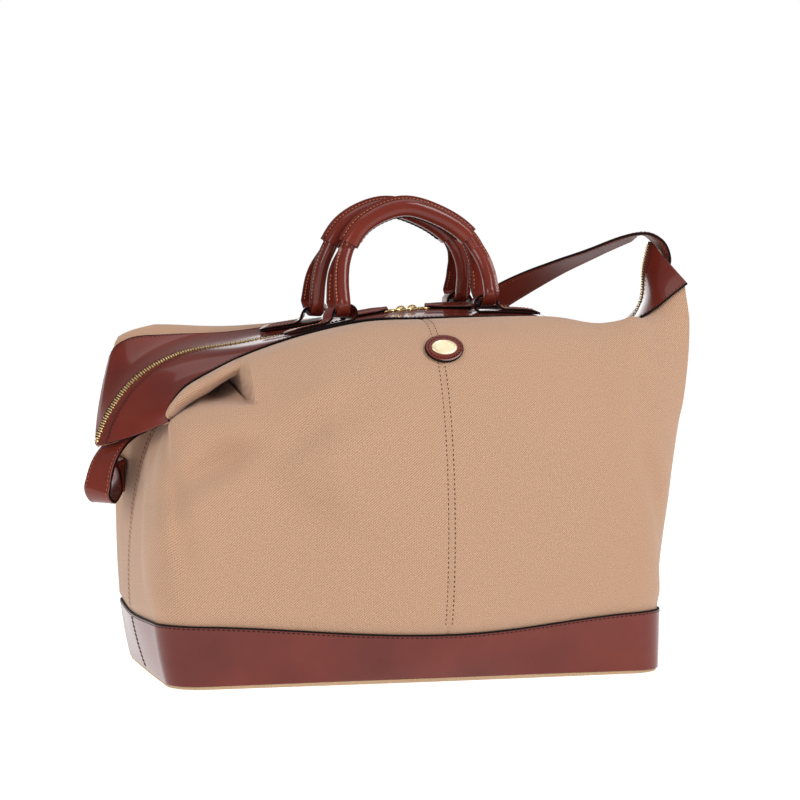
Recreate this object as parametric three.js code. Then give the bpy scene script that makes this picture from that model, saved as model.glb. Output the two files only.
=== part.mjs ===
// Travel bag, zipped shut and standing on its base: twill canvas body, leather base band and top, two rolled
// handles and a shoulder strap. Millimetres. +X runs along the bag, +Y to its back and +Z up. The origin lies
// on the floor, under the middle of the base.
import * as THREE from 'three';
import { mergeVertices } from 'three/addons/utils/BufferGeometryUtils.js';

const { clamp, lerp, smoothstep, degToRad } = THREE.MathUtils;

// Stock: clearance between neighbours, and the thickness of each material.
const GAP = 0.35;
const CANVAS_WALL = 1.6;
const LEATHER_WALL = 2;
const SKIVED = 0.6;
const BOTTOM_BOARD = 4.6;

// The four canvas panels meet at a seam in the middle of the front and back, and of each end.
const SEAM_X = 16;
const TURN_FROM = 0.56;
const TURN_TO = 0.75;
const CORNER = (TURN_FROM + TURN_TO) / 2;
const SIDES = [
  { name: 'front_left', x: -1, y: -1 },
  { name: 'front_right', x: 1, y: -1 },
  { name: 'back_left', x: -1, y: 1 },
  { name: 'back_right', x: 1, y: 1 },
];

// Lower and upper outline of the leather base band.
const BAND_FOOT = {
  centreX: 0, halfLength: 239, halfDepth: 125, radius: 30, middleBulge: 3, endBulge: 1,
  middleZ: 4.95, cornerZ: 4.95, endZ: 4.95,
};
const BAND_TOP = {
  centreX: -4, halfLength: 244, halfDepth: 128, radius: 34, middleBulge: 24, endBulge: 6,
  middleZ: 47, cornerZ: 60, endZ: 58,
};
const BAND_LEAN = 0.36;
const BAND_BEND = 0.55;
const BAND_STEPS = { along: 34, up: 2 };

// Zip line and outer edges of the leather top, from the left wing to the right one. The left wing droops, the
// right wing stands up.
const TOP_COLUMNS = ['zipX', 'zipZ', 'frontX', 'frontY', 'frontZ', 'backX', 'backY', 'backZ'];
const TOP_MIDDLE_ROW = 7;
const TOP_ROWS = [
  [-288, 218, -228, -62, 243, -265, 60, 297],
  [-275, 247, -227, -62, 257, -259, 60, 308],
  [-250, 279, -213, -58, 275, -243, 58, 317],
  [-208, 303, -186, -54, 290, -208, 54, 320],
  [-150, 313, -145, -51, 308, -152, 52, 322],
  [-89, 323, -89, -50, 326, -95, 51, 329],
  [-35, 334.5, -35, -50, 336.5, -35, 50, 337.5],
  [17, 341.5, 17, -50, 337.5, 17, 50, 339.5],
  [80, 342, 80, -50, 338.5, 80, 50, 340.5],
  [140, 339, 140, -50, 337, 140, 50, 338],
  [195, 323, 190, -52, 328, 192, 53, 325],
  [240, 327, 224, -57, 333, 238, 59, 321],
  [255, 352, 247, -62, 345, 263, 64, 331],
  [256, 384, 265, -65, 359, 273, 66, 350],
  [262, 410, 279, -66, 369, 279, 66, 371],
];

// Steps along the leather top, the place of the last step before each tip, and how far the wings are creased
// along the zip, from a round bow to two straight halves.
const TOP_STEPS = 28;
const TOP_TIP = 0.97;
const WING_CREASE = { amount: 0.7, from: 0.55 };
const TOP_STEPS_ACROSS = 4;
const TOP_SKIVE = { from: 0.78, to: 0.92 };

// Clearance of the canvas at its seams and below the leather top, as shares of a panel, and how far its hem is
// moved out and down along the wings.
const SEAM_CLEARANCE = 0.0006;
const WING_TO = CORNER - 0.03;
const TOP_CLEARANCE = { plain: 0.004, wing: 0.03, wingFrom: CORNER - 0.12, corner: 0.14, cornerReach: 0.1 };
const WING_HEM = { out: 0.3, down: 1.8, from: CORNER - 0.15 };
const HEM_SKIVE_FROM = 0.85;

// Shares of a panel between which it turns from facing the front or back to facing the bag's end.
const FACING = { from: 0.42, to: 0.86 };

// How each canvas panel swells above the band and rolls over to the leather top, by share of the panel.
const SHOULDER_COLUMNS = ['share', 'swell', 'reach', 'rise'];
const RIGHT_ROLL = [[0.3, 80, 90, 26], [0.48, 85, 66, 44], [CORNER, 120, 12, -110], [1, 100, 26, -70]];
const SHOULDERS = {
  front_left: [
    [0, 80, 116, 7], [0.25, 75, 108, 4], [0.42, 70, 70, -6], [CORNER, 80, 40, -30], [1, 30, 10, -60],
  ],
  front_right: [[0, 80, 116, 7], ...RIGHT_ROLL],
  back_left: [
    [0, 80, 98, 6], [0.28, 80, 90, 30], [0.52, 90, 60, 58], [0.6, 60, 40, 40], [CORNER, 40, -8, -70],
    [1, 30, -34, -60],
  ],
  back_right: [[0, 80, 98, 6], ...RIGHT_ROLL],
};

// Shares of a panel at which it is creased into facets: closer together round the tuck and the corners.
const PANEL_ROWS = { front_left: 18, front_right: 10, back_left: 12, back_right: 10 };
const PLAIN_COLUMNS = [
  0, 0.07, 0.14, 0.21, 0.28, 0.35, 0.42, 0.48, 0.54, 0.59, 0.625, 0.66, 0.7, 0.76, 0.82, 0.88, 0.94, 1,
];
const TUCK_PANEL_COLUMNS = [
  0, 0.08, 0.16, 0.24, 0.32, 0.38, 0.405, 0.415, 0.425, 0.435, 0.46, 0.5, 0.55, 0.59, 0.625, 0.66, 0.71, 0.78,
  0.85, 0.92, 1,
];
const PANEL_COLUMNS = {
  front_left: TUCK_PANEL_COLUMNS,
  front_right: PLAIN_COLUMNS,
  back_left: PLAIN_COLUMNS,
  back_right: PLAIN_COLUMNS,
};

// The tuck under the drooping wing: where the canvas runs in to a valley and out again over a lip.
const TUCK_SPLIT = 0.7;
const TUCK_COLUMNS = [
  'share', 'valleyIn', 'valleyUp', 'lipOut', 'lipUp', 'throatOut', 'throatUp', 'shoulderOut', 'shoulderUp',
];
const TUCK_ROWS = [
  [0.4, -8, -17, 26, 4, 12, 10, 42, -3],
  [0.45, 4, -19, 30, 2, 24, 4, 46, -4],
  [0.5, 8, -21, 28, 0, 32, -2, 48, -5],
  [0.55, 8, -19, 22, -2, 30, -5, 48, -6],
  [0.6, 10, -14.5, 22, -4.6, 27, -8.4, 44, -10],
  [CORNER, 24, 2, 0, -1, 12, -1, 50, -14],
  [0.83, 50, 28, -14, 6, 20, 2, 32, -24],
  [1, 70, 28, -18, 8, 24, 2, 38, -26],
];
const TUCK_FADE = {
  front_left: { valley: [0.405, 0.435], shoulder: [0.2, 0.52] },
  back_left: { valley: [0.66, 0.92], shoulder: [0.66, 0.92] },
};

// Handles: arch of the rolled part from foot to foot, and the shares of it that the flat strap and the grip
// reach. The strands of a handle lie side by side above the joined height.
const ARCH_COLUMNS = ['x', 'z'];
const ARCH_ROWS = [
  [-56, 351], [-55, 372], [-50, 394], [-31, 425], [7, 441.5], [43, 432.5], [71, 414], [84, 392], [87.5, 375],
  [87.5, 361],
];
const ARCH_JOINED = 402;
const HANDLES = [
  { name: 'front', shiftX: 0, tubeFootY: -43, flatFootY: -11, gripY: -14 },
  { name: 'back', shiftX: -11, tubeFootY: 19, flatFootY: 51, gripY: 14 },
];
const FEET = [
  { name: 'left', at: 0, out: -1 },
  { name: 'right', at: 1, out: 1 },
];
const TUBE = { radius: 6, fin: 8.6, sideShift: -4 };
const FLAT = {
  width: 20, endWidth: 10, taper: 0.6, thickness: 3.2, edge: 0.4, sideShift: 4.6, reach: [0.3, 0.64],
};
const FOOT_BEND = { width: 12.2, thickness: 4.8, eye: 8.6, rolledFrom: 0.6 };
const HANDLE_STEPS = { around: 10, along: 44 };
const GRIP = {
  from: 0.27, to: 0.667, inPlane: 20.4, depth: 23.2, wall: 1.6, outShift: 1, sideShift: -1.2, edge: 0.5,
};

// Tabs: a folded leather strip that makes a tongue on the leather top and a loop round a handle's foot.
const TAB = { width: 17, tipWidth: 8, thickness: 2.2 };
const TAB_COLUMNS = ['out', 'up', 'narrow'];
const TAB_ROWS = [
  [55, 1.45, 1], [51, 1.45, 0.45], [44, 1.45, 0], [28, 1.45, 0], [12, 1.45, 0], [0, 1.45, 0], [-7, 1.7, 0],
  [-11.5, 5.5, 0], [-11.5, 11.5, 0], [-7, 16.2, 0], [0, 17.2, 0], [7, 16.2, 0], [11, 11.5, 0], [13, 7, 0],
  [18, 4.3, 0], [28, 4.05, 0], [44, 4.05, 0], [51, 4.05, 0.45], [55, 4.05, 1],
];

// Zip and its fittings.
const ZIP = {
  edge: 0.11, endEdge: 0.15, endFrom: 0.7, tapeFrom: 0.045, tapeTo: 0.2, tapeWall: 0.8,
  seat: 0.85, chainHalf: 3, chainTop: 0.7, chainDepth: 2.2,
};
const SLIDER = { length: 10, width: 9, height: 4.5, corner: 3, out: 5.6 };
const RING = { radius: 4.4, wire: 1.1, out: 16.6 };
const PULL = { from: 22.7, length: 42, width: 10, thickness: 4, neck: 0.6, neckReach: 0.3, steps: 8 };

// Badge on the front, beside the seam.
const BADGE = { share: 0.012, rise: 0.765, halfWidth: 19, halfHeight: 16, wall: 2.4, tilt: -11, bend: 150 };
const PLATE = { halfWidth: 12.5, halfHeight: 8.5, wall: 1.2 };

// Shoulder strap: middle line of each length and the direction across it.
const STRAP = { width: 32, thickness: 3.4 };
const STRAP_COLUMNS = ['x', 'y', 'z', 'acrossX', 'acrossY', 'acrossZ'];
const STRAP_SHORT = [
  [-243, -2, 232, 0, 1, 0.05],
  [-254, -3, 228.5, -0.15, 1, 0.1],
  [-268, -5, 219, -0.35, 0.9, 0.1],
  [-280, -8, 203, -0.5, 0.85, 0.1],
  [-286, -10, 184, -0.6, 0.8, 0.1],
  [-287, -10, 172, -0.6, 0.8, 0.1],
  [-281, -5, 165, -0.6, 0.8, 0],
  [-274, 1, 169, -0.5, 0.8, -0.2],
  [-269, 12, 177, -0.3, 0.7, -0.6],
  [-265, 24, 182, -0.1, 0.4, -0.9],
];
const STRAP_BACK_COLUMNS = ['share', 'z'];
const STRAP_BACK = {
  back_left: [
    [0.85, 187], [0.78, 189], [0.72, 192], [0.67, 195], [0.645, 197], [0.62, 199], [0.59, 202], [0.56, 206],
    [0.52, 211], [0.46, 219], [0.36, 234], [0.2, 259],
  ],
  back_right: [[0, 288], [0.07, 298], [0.14, 308]],
};
const STRAP_LIFT = 0.8;
const STRAP_JOIN = [[9, 1.5], [1, 0]];
const STRAP_RIGHT = [
  [110, 113, 331, -0.48, -0.47, 0.73],
  [144, 101, 355, -0.6, -0.5, 0.62],
  [189, 76, 381, -0.75, -0.6, 0.28],
  [217, 34, 398, -0.74, -0.66, 0.1],
  [241, 7, 411, -0.6, -0.78, 0.1],
  [257, 1, 416.5, -0.15, -0.98, 0],
  [270, 0, 410, 0, -1, 0],
  [279, 0, 392, 0, -1, 0],
];
const STRAP_END = { heights: [372, 356, 340], shares: [0.9, 0.93, 0.96, 0.99] };
const BUCKLE = { length: 30, width: 44, bar: 4, wire: 3.2, corner: 5, prong: 2.6, lift: 0.8 };

const LEATHER = { color: 0x73322a, roughness: 0.35, metalness: 0 };
const CANVAS = { color: 0xc8a582, roughness: 0.9, metalness: 0 };
const BRASS = { color: 0xd7b45a, roughness: 0.3, metalness: 1 };
const TAPE = { color: 0x4a2a24, roughness: 0.9, metalness: 0 };

const UP = new THREE.Vector3(0, 0, 1);

// A point or direction.
function vec(x, y, z) {
  return new THREE.Vector3(x, y, z);
}

// The sum of a point and scaled directions.
function offset(point, ...terms) {
  const moved = point.clone();
  for (const [direction, amount] of terms) {
    moved.addScaledVector(direction, amount);
  }
  return moved;
}

// Rows of a table as objects with named columns.
function table(columns, rows) {
  return rows.map((row) => Object.fromEntries(columns.map((column, i) => [column, row[i]])));
}

// A table's values at one share, eased from row to row.
function tableAt(rows, share) {
  const next = rows.findIndex((row) => row.share >= share);
  if (next <= 0) {
    return rows[next === 0 ? 0 : rows.length - 1];
  }
  const from = rows[next - 1];
  const to = rows[next];
  const t = (share - from.share) / (to.share - from.share);
  const mixed = {};
  for (const key of Object.keys(from)) {
    mixed[key] = lerp(from[key], to[key], t);
  }
  return mixed;
}

// Moves each vertex of a unit geometry to its place on the bag.
function shaped(geometry, place) {
  geometry.deleteAttribute('normal');
  geometry.deleteAttribute('uv');
  const body = mergeVertices(geometry);
  const points = body.attributes.position;
  for (let i = 0; i < points.count; i += 1) {
    const placed = place(vec(points.getX(i), points.getY(i), points.getZ(i)));
    points.setXYZ(i, placed.x, placed.y, placed.z);
  }
  return facingOut(body);
}

// Turns the faces of a closed body outward.
function facingOut(body) {
  if (volume(body) < 0) {
    const order = body.index.array;
    for (let i = 0; i < order.length; i += 3) {
      [order[i], order[i + 1]] = [order[i + 1], order[i]];
    }
  }
  body.computeVertexNormals();
  return body;
}

// Signed volume of a closed body.
function volume(body) {
  const points = body.attributes.position;
  const order = body.index.array;
  const [a, b, c] = [vec(0, 0, 0), vec(0, 0, 0), vec(0, 0, 0)];
  let sum = 0;
  for (let i = 0; i < order.length; i += 3) {
    a.fromBufferAttribute(points, order[i]);
    b.fromBufferAttribute(points, order[i + 1]);
    c.fromBufferAttribute(points, order[i + 2]);
    sum += a.dot(b.cross(c)) / 6;
  }
  return sum;
}

// Unit normal of a surface(u, v).
function normalOf(surface, u, v) {
  const step = 0.004;
  const alongU = surface(Math.min(u + step, 1), v).sub(surface(Math.max(u - step, 0), v));
  const alongV = surface(u, Math.min(v + step, 1)).sub(surface(u, Math.max(v - step, 0)));
  return alongU.cross(alongV).normalize();
}

// A wall that follows surface(u, v): from(u, v) and to(u, v) are its two depths along the surface's normal,
// which seam(normal, u) may turn into the plane of a seam.
function wall(columns, rows, surface, from, to, seam = () => {}) {
  const sheet = new THREE.PlaneGeometry(1, 1, columns, rows);
  const grid = sheet.attributes.position;
  const order = Array.from(sheet.index.array);
  const corner = (column, row) => column + row * (columns + 1);
  const faces = [...order, ...order.map((vertex) => vertex + grid.count).reverse()];
  const points = [];
  for (const depth of [from, to]) {
    for (let i = 0; i < grid.count; i += 1) {
      const u = grid.getX(i) + 0.5;
      const v = 0.5 - grid.getY(i);
      const normal = normalOf(surface, u, v);
      seam(normal, u);
      points.push(offset(surface(u, v), [normal.normalize(), depth(u, v)]));
    }
  }
  const rim = [];
  for (let row = 0; row < rows; row += 1) {
    rim.push([corner(0, row), corner(0, row + 1)], [corner(columns, row + 1), corner(columns, row)]);
  }
  for (let column = 0; column < columns; column += 1) {
    rim.push([corner(column, rows), corner(column + 1, rows)], [corner(column + 1, 0), corner(column, 0)]);
  }
  for (const [p, q] of rim) {
    faces.push(q, p, p + grid.count, q, p + grid.count, q + grid.count);
  }
  const body = new THREE.BufferGeometry().setFromPoints(points);
  body.setIndex(faces);
  return facingOut(body);
}

// A band of rectangular section: frameAt(t) gives its middle, the directions across it and the half sizes.
function ribbon(steps, frameAt) {
  return shaped(new THREE.BoxGeometry(2, 2, 1, 1, 1, steps), (at) => {
    const { middle, across, normal, halfWidth, halfThickness } = frameAt(at.z + 0.5);
    return offset(middle, [across, at.x * halfWidth], [normal, at.y * halfThickness]);
  });
}

// A quarter of a ring round the bag, from the seam at share 0 to the middle of the end at share 1.
function ringPoint(ring, side, share) {
  const alongMiddle = clamp(share / TURN_FROM, 0, 1);
  const turn = (clamp((share - TURN_FROM) / (TURN_TO - TURN_FROM), 0, 1) * Math.PI) / 2;
  const alongEnd = clamp((share - TURN_TO) / (1 - TURN_TO), 0, 1);
  const nearMiddle = Math.cos((Math.min(1, share / CORNER) * Math.PI) / 2) ** 2;
  const nearEnd = Math.cos((Math.min(1, (1 - share) / (1 - CORNER)) * Math.PI) / 2) ** 2;
  const cornerX = ring.centreX + side.x * (ring.halfLength - ring.radius);
  const cornerY = side.y * (ring.halfDepth - ring.radius);
  const out = ring.radius * Math.sin(turn) + ring.endBulge * nearEnd;
  const deep = ring.radius * Math.cos(turn) + ring.middleBulge * nearMiddle;
  const x = lerp(SEAM_X, cornerX, alongMiddle) + side.x * out;
  const y = lerp(cornerY, 0, alongEnd) + side.y * deep;
  const dip = (ring.cornerZ - ring.middleZ) * nearMiddle + (ring.cornerZ - ring.endZ) * nearEnd;
  return vec(x, y, ring.cornerZ - dip);
}

// Level direction out of the bag at one share of a panel.
function outward(side, share) {
  const turn = (smoothstep(share, FACING.from, FACING.to) * Math.PI) / 2;
  return vec(side.x * Math.sin(turn), side.y * Math.cos(turn), 0);
}

// The base band, from its foot at rise 0 to its top edge at rise 1.
function bandPoint(side, share, rise) {
  const foot = ringPoint(BAND_FOOT, side, share);
  const top = ringPoint(BAND_TOP, side, share);
  const height = top.z - foot.z;
  const out = top.clone().sub(foot).setZ(0);
  const lean = Math.min(out.length(), height) * BAND_LEAN;
  const bend = offset(top, [UP, -BAND_BEND * height], [out.normalize(), -lean]);
  return new THREE.QuadraticBezierCurve3(foot, bend, top).getPoint(rise);
}

// Spline of one line of the leather top.
function topLine(x, y, z) {
  const points = table(TOP_COLUMNS, TOP_ROWS).map((row) => vec(row[x], y ? row[y] : 0, row[z]));
  const line = new THREE.CatmullRomCurve3(points);
  const steps = 40;
  const lengths = line.getLengths(steps * (points.length - 1));
  line.arcLengthDivisions = lengths.length - 1;
  line.middle = lengths[steps * TOP_MIDDLE_ROW] / lengths[lengths.length - 1];
  return line;
}

const ZIP_LINE = topLine('zipX', null, 'zipZ');
const FRONT_EDGE = topLine('frontX', 'frontY', 'frontZ');
const BACK_EDGE = topLine('backX', 'backY', 'backZ');

// A line of the top at one place: -1 is the left end, 0 the middle and 1 the right end.
function along(line, place) {
  const share = place < 0 ? line.middle * (1 + place) : line.middle + (1 - line.middle) * place;
  return line.getPointAt(clamp(share, 0, 1));
}

// Upper face of the leather top: across is -1 at the front edge, 0 at the zip and 1 at the back edge.
function topPoint(place, across) {
  const zip = along(ZIP_LINE, place);
  const front = along(FRONT_EDGE, place);
  const back = along(BACK_EDGE, place);
  const straight = zip.clone().lerp(across < 0 ? front : back, Math.abs(across));
  const slope = back.clone().sub(front).multiplyScalar(across / 2);
  const bow = front.add(back).multiplyScalar(0.5).sub(zip).multiplyScalar(across * across);
  const crease = WING_CREASE.amount * smoothstep(Math.abs(place), WING_CREASE.from, 1);
  return zip.add(slope).add(bow).lerp(straight, crease);
}

// Place of a step along the whole leather top.
function topPlace(u) {
  const step = u * TOP_STEPS - TOP_STEPS / 2;
  const inner = TOP_STEPS / 2 - 1;
  const past = Math.max(Math.abs(step) - inner, 0);
  return Math.sign(step) * lerp((Math.min(Math.abs(step), inner) / inner) * TOP_TIP, 1, past);
}

// Place of a step along the zip, which ends short of the tips.
function zipPlace(u) {
  return lerp(-TOP_TIP, TOP_TIP, u);
}

// Upper face of the leather top as a surface(u, v) between two lines across it.
function topSurface(placeAt, acrossFrom, acrossTo) {
  return (u, v) => {
    const place = placeAt(u);
    return topPoint(place, lerp(acrossFrom(place), acrossTo(place), v));
  };
}

// Where a canvas panel ends at the leather top.
function panelTop(side, share) {
  if (share <= CORNER) {
    return topPoint((side.x * share) / CORNER, side.y);
  }
  return topPoint(side.x, (side.y * (1 - share)) / (1 - CORNER));
}

// Control points of a canvas panel's profile, as a lower and an upper curve.
function profile(side, share) {
  const foot = offset(bandPoint(side, share, 1), [UP, GAP]);
  const out = outward(side, share);
  const onWing = smoothstep(share, WING_HEM.from, WING_TO);
  const top = offset(panelTop(side, share), [out, WING_HEM.out * onWing], [UP, -WING_HEM.down * onWing]);
  const shoulder = tableAt(table(SHOULDER_COLUMNS, SHOULDERS[side.name]), share);
  const lean = bandPoint(side, share, 1).sub(bandPoint(side, share, 0.9)).normalize();
  const swell = offset(foot, [lean, shoulder.swell]);
  const crest = offset(top, [out, shoulder.reach], [UP, shoulder.rise]);
  const [lower, upper] = split([foot, swell, crest, top], TUCK_SPLIT);
  const fade = TUCK_FADE[side.name];
  if (fade) {
    const inValley = smoothstep(share, ...fade.valley);
    const inShoulder = smoothstep(share, ...fade.shoulder);
    const tuck = tableAt(table(TUCK_COLUMNS, TUCK_ROWS), share);
    const valley = offset(top, [out, -tuck.valleyIn], [UP, tuck.valleyUp]);
    const under = offset(valley, [out, tuck.shoulderOut], [UP, tuck.shoulderUp]);
    const throat = offset(valley, [out, tuck.throatOut], [UP, tuck.throatUp]);
    const lip = offset(top, [out, tuck.lipOut], [UP, tuck.lipUp]);
    lower[1].lerp(swell, inShoulder);
    lower[2].lerp(under, inShoulder);
    lower[3].lerp(valley, inValley);
    [valley, throat, lip].forEach((point, i) => upper[i].lerp(point, inValley));
  }
  return { lower, upper };
}

// Splits a cubic curve's control points in two at t.
function split([a, b, c, d], t) {
  const ab = a.clone().lerp(b, t);
  const bc = b.clone().lerp(c, t);
  const cd = c.clone().lerp(d, t);
  const abc = ab.clone().lerp(bc, t);
  const bcd = bc.clone().lerp(cd, t);
  const middle = abc.clone().lerp(bcd, t);
  return [[a.clone(), ab, abc, middle], [middle.clone(), bcd, cd, d.clone()]];
}

// Outer face of a canvas panel, from the band at rise 0 to the leather top at rise 1.
function canvasPoint(side, share, rise) {
  const { lower, upper } = profile(side, share);
  if (rise <= TUCK_SPLIT) {
    return new THREE.CubicBezierCurve3(...lower).getPoint(rise / TUCK_SPLIT);
  }
  return new THREE.CubicBezierCurve3(...upper).getPoint((rise - TUCK_SPLIT) / (1 - TUCK_SPLIT));
}

const bag = new THREE.Group();

// Adds a named piece with a material of its own.
function piece(name, geometry, finish) {
  const mesh = new THREE.Mesh(geometry, new THREE.MeshStandardMaterial(finish));
  mesh.name = name;
  bag.add(mesh);
}

// Sign that makes a depth along a surface's normal point into the bag.
function inwardSign(surface, inside) {
  const middle = surface(0.5, 0.5);
  return normalOf(surface, 0.5, 0.5).dot(inside.clone().sub(middle)) > 0 ? 1 : -1;
}

const CORE = vec(0, 0, 170);

// Canvas panels.
for (const side of SIDES) {
  const topGap = (share) => {
    const atCorner = 1 - smoothstep(Math.abs(share - CORNER), 0, TOP_CLEARANCE.cornerReach);
    const onWing = smoothstep(share, TOP_CLEARANCE.wingFrom, WING_TO);
    return lerp(TOP_CLEARANCE.plain, TOP_CLEARANCE.wing, onWing) + TOP_CLEARANCE.corner * atCorner;
  };
  const columns = PANEL_COLUMNS[side.name];
  const steps = columns.length - 1;
  const surface = (u, v) => {
    const from = Math.min(Math.floor(u * steps), steps - 1);
    const column = lerp(columns[from], columns[from + 1], u * steps - from);
    const share = lerp(SEAM_CLEARANCE, 1 - SEAM_CLEARANCE, column);
    return canvasPoint(side, share, v * (1 - topGap(share)));
  };
  const inward = inwardSign(surface, CORE);
  const thickness = (u, v) => inward * lerp(CANVAS_WALL, SKIVED, smoothstep(v, HEM_SKIVE_FROM, 1));
  const rows = PANEL_ROWS[side.name];
  const seam = (normal, u) => {
    normal.setX(u === 0 ? 0 : normal.x);
    normal.setY(u === 1 ? 0 : normal.y);
  };
  piece(`canvas_${side.name}`, wall(steps, rows, surface, () => 0, thickness, seam), CANVAS);
}

// Base band halves, each round from the middle of one end to the other.
for (const [name, y] of [['front', -1], ['back', 1]]) {
  const surface = (u, v) => {
    const place = lerp(-1, 1, u) * (1 - SEAM_CLEARANCE);
    return bandPoint({ x: place < 0 ? -1 : 1, y }, Math.abs(place), v);
  };
  const inward = inwardSign(surface, CORE);
  const { along: steps, up: rows } = BAND_STEPS;
  piece(`band_${name}`, wall(steps, rows, surface, () => 0, () => inward * LEATHER_WALL), LEATHER);
}

// Bottom: canvas over a stiff board.
function bottomPanel() {
  const outline = [];
  for (const side of [SIDES[0], SIDES[2], SIDES[3], SIDES[1]]) {
    const steps = 9;
    const shares = Array.from({ length: steps }, (unused, i) => i / steps);
    const quarter = side.x * side.y > 0 ? shares : shares.map((share) => 1 - share);
    quarter.forEach((share) => outline.push(ringPoint(BAND_FOOT, side, share)));
  }
  const bevel = 1.2;
  const shape = new THREE.Shape(outline.map((point) => new THREE.Vector2(point.x, point.y)));
  const plate = new THREE.ExtrudeGeometry(shape, {
    depth: BOTTOM_BOARD - 2 * bevel,
    bevelThickness: bevel,
    bevelSize: bevel,
    bevelOffset: -bevel,
    bevelSegments: 1,
  });
  return plate.translate(0, 0, bevel);
}
piece('bottom_panel', bottomPanel(), CANVAS);

// Leather top halves.
for (const [name, y] of [['front', -1], ['back', 1]]) {
  const inner = (place) => y * lerp(ZIP.edge, ZIP.endEdge, smoothstep(Math.abs(place), ZIP.endFrom, 1));
  const surface = topSurface(topPlace, () => y, inner);
  const inward = inwardSign(surface, CORE);
  const skived = (u) => smoothstep(Math.abs(2 * u - 1), TOP_SKIVE.from, TOP_SKIVE.to);
  const thickness = (u) => inward * lerp(LEATHER_WALL, SKIVED, skived(u));
  piece(`top_${name}`, wall(TOP_STEPS, TOP_STEPS_ACROSS, surface, () => 0, thickness), LEATHER);
}

// Zip tapes and closed chain.
for (const [name, y] of [['front', -1], ['back', 1]]) {
  const surface = topSurface(zipPlace, () => y * ZIP.tapeFrom, () => y * ZIP.tapeTo);
  const inward = inwardSign(surface, CORE);
  const depth = LEATHER_WALL + ZIP.seat;
  const from = () => inward * depth;
  const to = () => inward * (depth + ZIP.tapeWall);
  piece(`zip_tape_${name}`, wall(TOP_STEPS - 2, 1, surface, from, to), TAPE);
}

// Point of the leather top above one place on the floor, with its directions.
function topAbove(x, y) {
  let [low, high] = [-1, 1];
  let across = 0;
  for (let i = 0; i < 40; i += 1) {
    const place = (low + high) / 2;
    across = y / Math.abs(along(y < 0 ? FRONT_EDGE : BACK_EDGE, place).y);
    if (topPoint(place, across).x < x) {
      low = place;
    } else {
      high = place;
    }
  }
  return topFrame(low, across);
}

// Middle, forward, across and normal directions of the leather top.
function topFrame(place, across) {
  const [step, stepAcross] = [0.01, 0.05];
  const middle = topPoint(place, across);
  const sideways = topPoint(place, across + stepAcross).sub(topPoint(place, across - stepAcross)).normalize();
  const ahead = topPoint(Math.min(place + step, 1), across);
  const forward = ahead.sub(topPoint(Math.max(place - step, -1), across)).normalize();
  const normal = forward.clone().cross(sideways).normalize();
  return { middle, forward, across: sideways, normal };
}

piece('zip_chain', ribbon(TOP_STEPS - 2, (t) => {
  const frame = topFrame(zipPlace(t), 0);
  const halfThickness = (ZIP.chainTop + ZIP.chainDepth) / 2;
  const middle = offset(frame.middle, [frame.normal, ZIP.chainTop - halfThickness]);
  return { ...frame, middle, halfWidth: ZIP.chainHalf, halfThickness };
}), BRASS);

// Rounded rectangle, as a path.
function rounded(length, width, radius, Kind = THREE.Shape) {
  const [a, b] = [length / 2, width / 2];
  const path = new Kind();
  path.absarc(a - radius, b - radius, radius, 0, Math.PI / 2);
  path.absarc(radius - a, b - radius, radius, Math.PI / 2, Math.PI);
  path.absarc(radius - a, radius - b, radius, Math.PI, 1.5 * Math.PI);
  path.absarc(a - radius, radius - b, radius, 1.5 * Math.PI, 2 * Math.PI);
  path.closePath();
  return path;
}

// A plate cut from a shape, with its lower face at the origin.
function plate(shape, thickness, curveSegments = 4) {
  return new THREE.ExtrudeGeometry(shape, { depth: thickness, bevelEnabled: false, curveSegments });
}

// Sets a geometry into a frame: its x along forward, its y along across and its z along normal.
function seated(geometry, { middle, forward, across, normal }) {
  const basis = new THREE.Matrix4().makeBasis(forward, across, normal).setPosition(middle);
  return geometry.applyMatrix4(basis);
}

// Sliders, rings and leather pulls, a set on each side of the middle.
for (const { name, out } of FEET) {
  const at = (distance, lift) => {
    const frame = topAbove(SEAM_X + out * distance, 0);
    return { ...frame, middle: offset(frame.middle, [frame.normal, ZIP.chainTop + lift]) };
  };
  const slider = plate(rounded(SLIDER.length, SLIDER.width, SLIDER.corner), SLIDER.height, 3);
  piece(`zip_slider_${name}`, seated(slider, at(SLIDER.out, GAP)), BRASS);
  const ring = new THREE.TorusGeometry(RING.radius, RING.wire, 5, 12);
  piece(`zip_ring_${name}`, seated(ring, at(RING.out, RING.wire + GAP)), BRASS);
  piece(`zip_pull_${name}`, ribbon(PULL.steps, (t) => {
    const frame = at(PULL.from + PULL.length * t, GAP + PULL.thickness / 2);
    const halfWidth = (PULL.width / 2) * lerp(PULL.neck, 1, smoothstep(t, 0, PULL.neckReach));
    return { ...frame, halfWidth, halfThickness: PULL.thickness / 2 };
  }), LEATHER);
}

// Arch of a handle at t: a point in its plane and the direction toward the inside of the arch.
const ARCH = new THREE.CatmullRomCurve3(table(ARCH_COLUMNS, ARCH_ROWS).map((row) => vec(row.x, 0, row.z)));
function archAt(handle, t) {
  const point = ARCH.getPoint(t);
  const tangent = ARCH.getTangent(t);
  const foot = ARCH.points[t < 0.5 ? 0 : ARCH.points.length - 1];
  const high = clamp((point.z - foot.z) / (ARCH_JOINED - foot.z), 0, 1);
  point.x += handle.shiftX;
  return { point, inside: vec(tangent.z, 0, -tangent.x), high };
}

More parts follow.
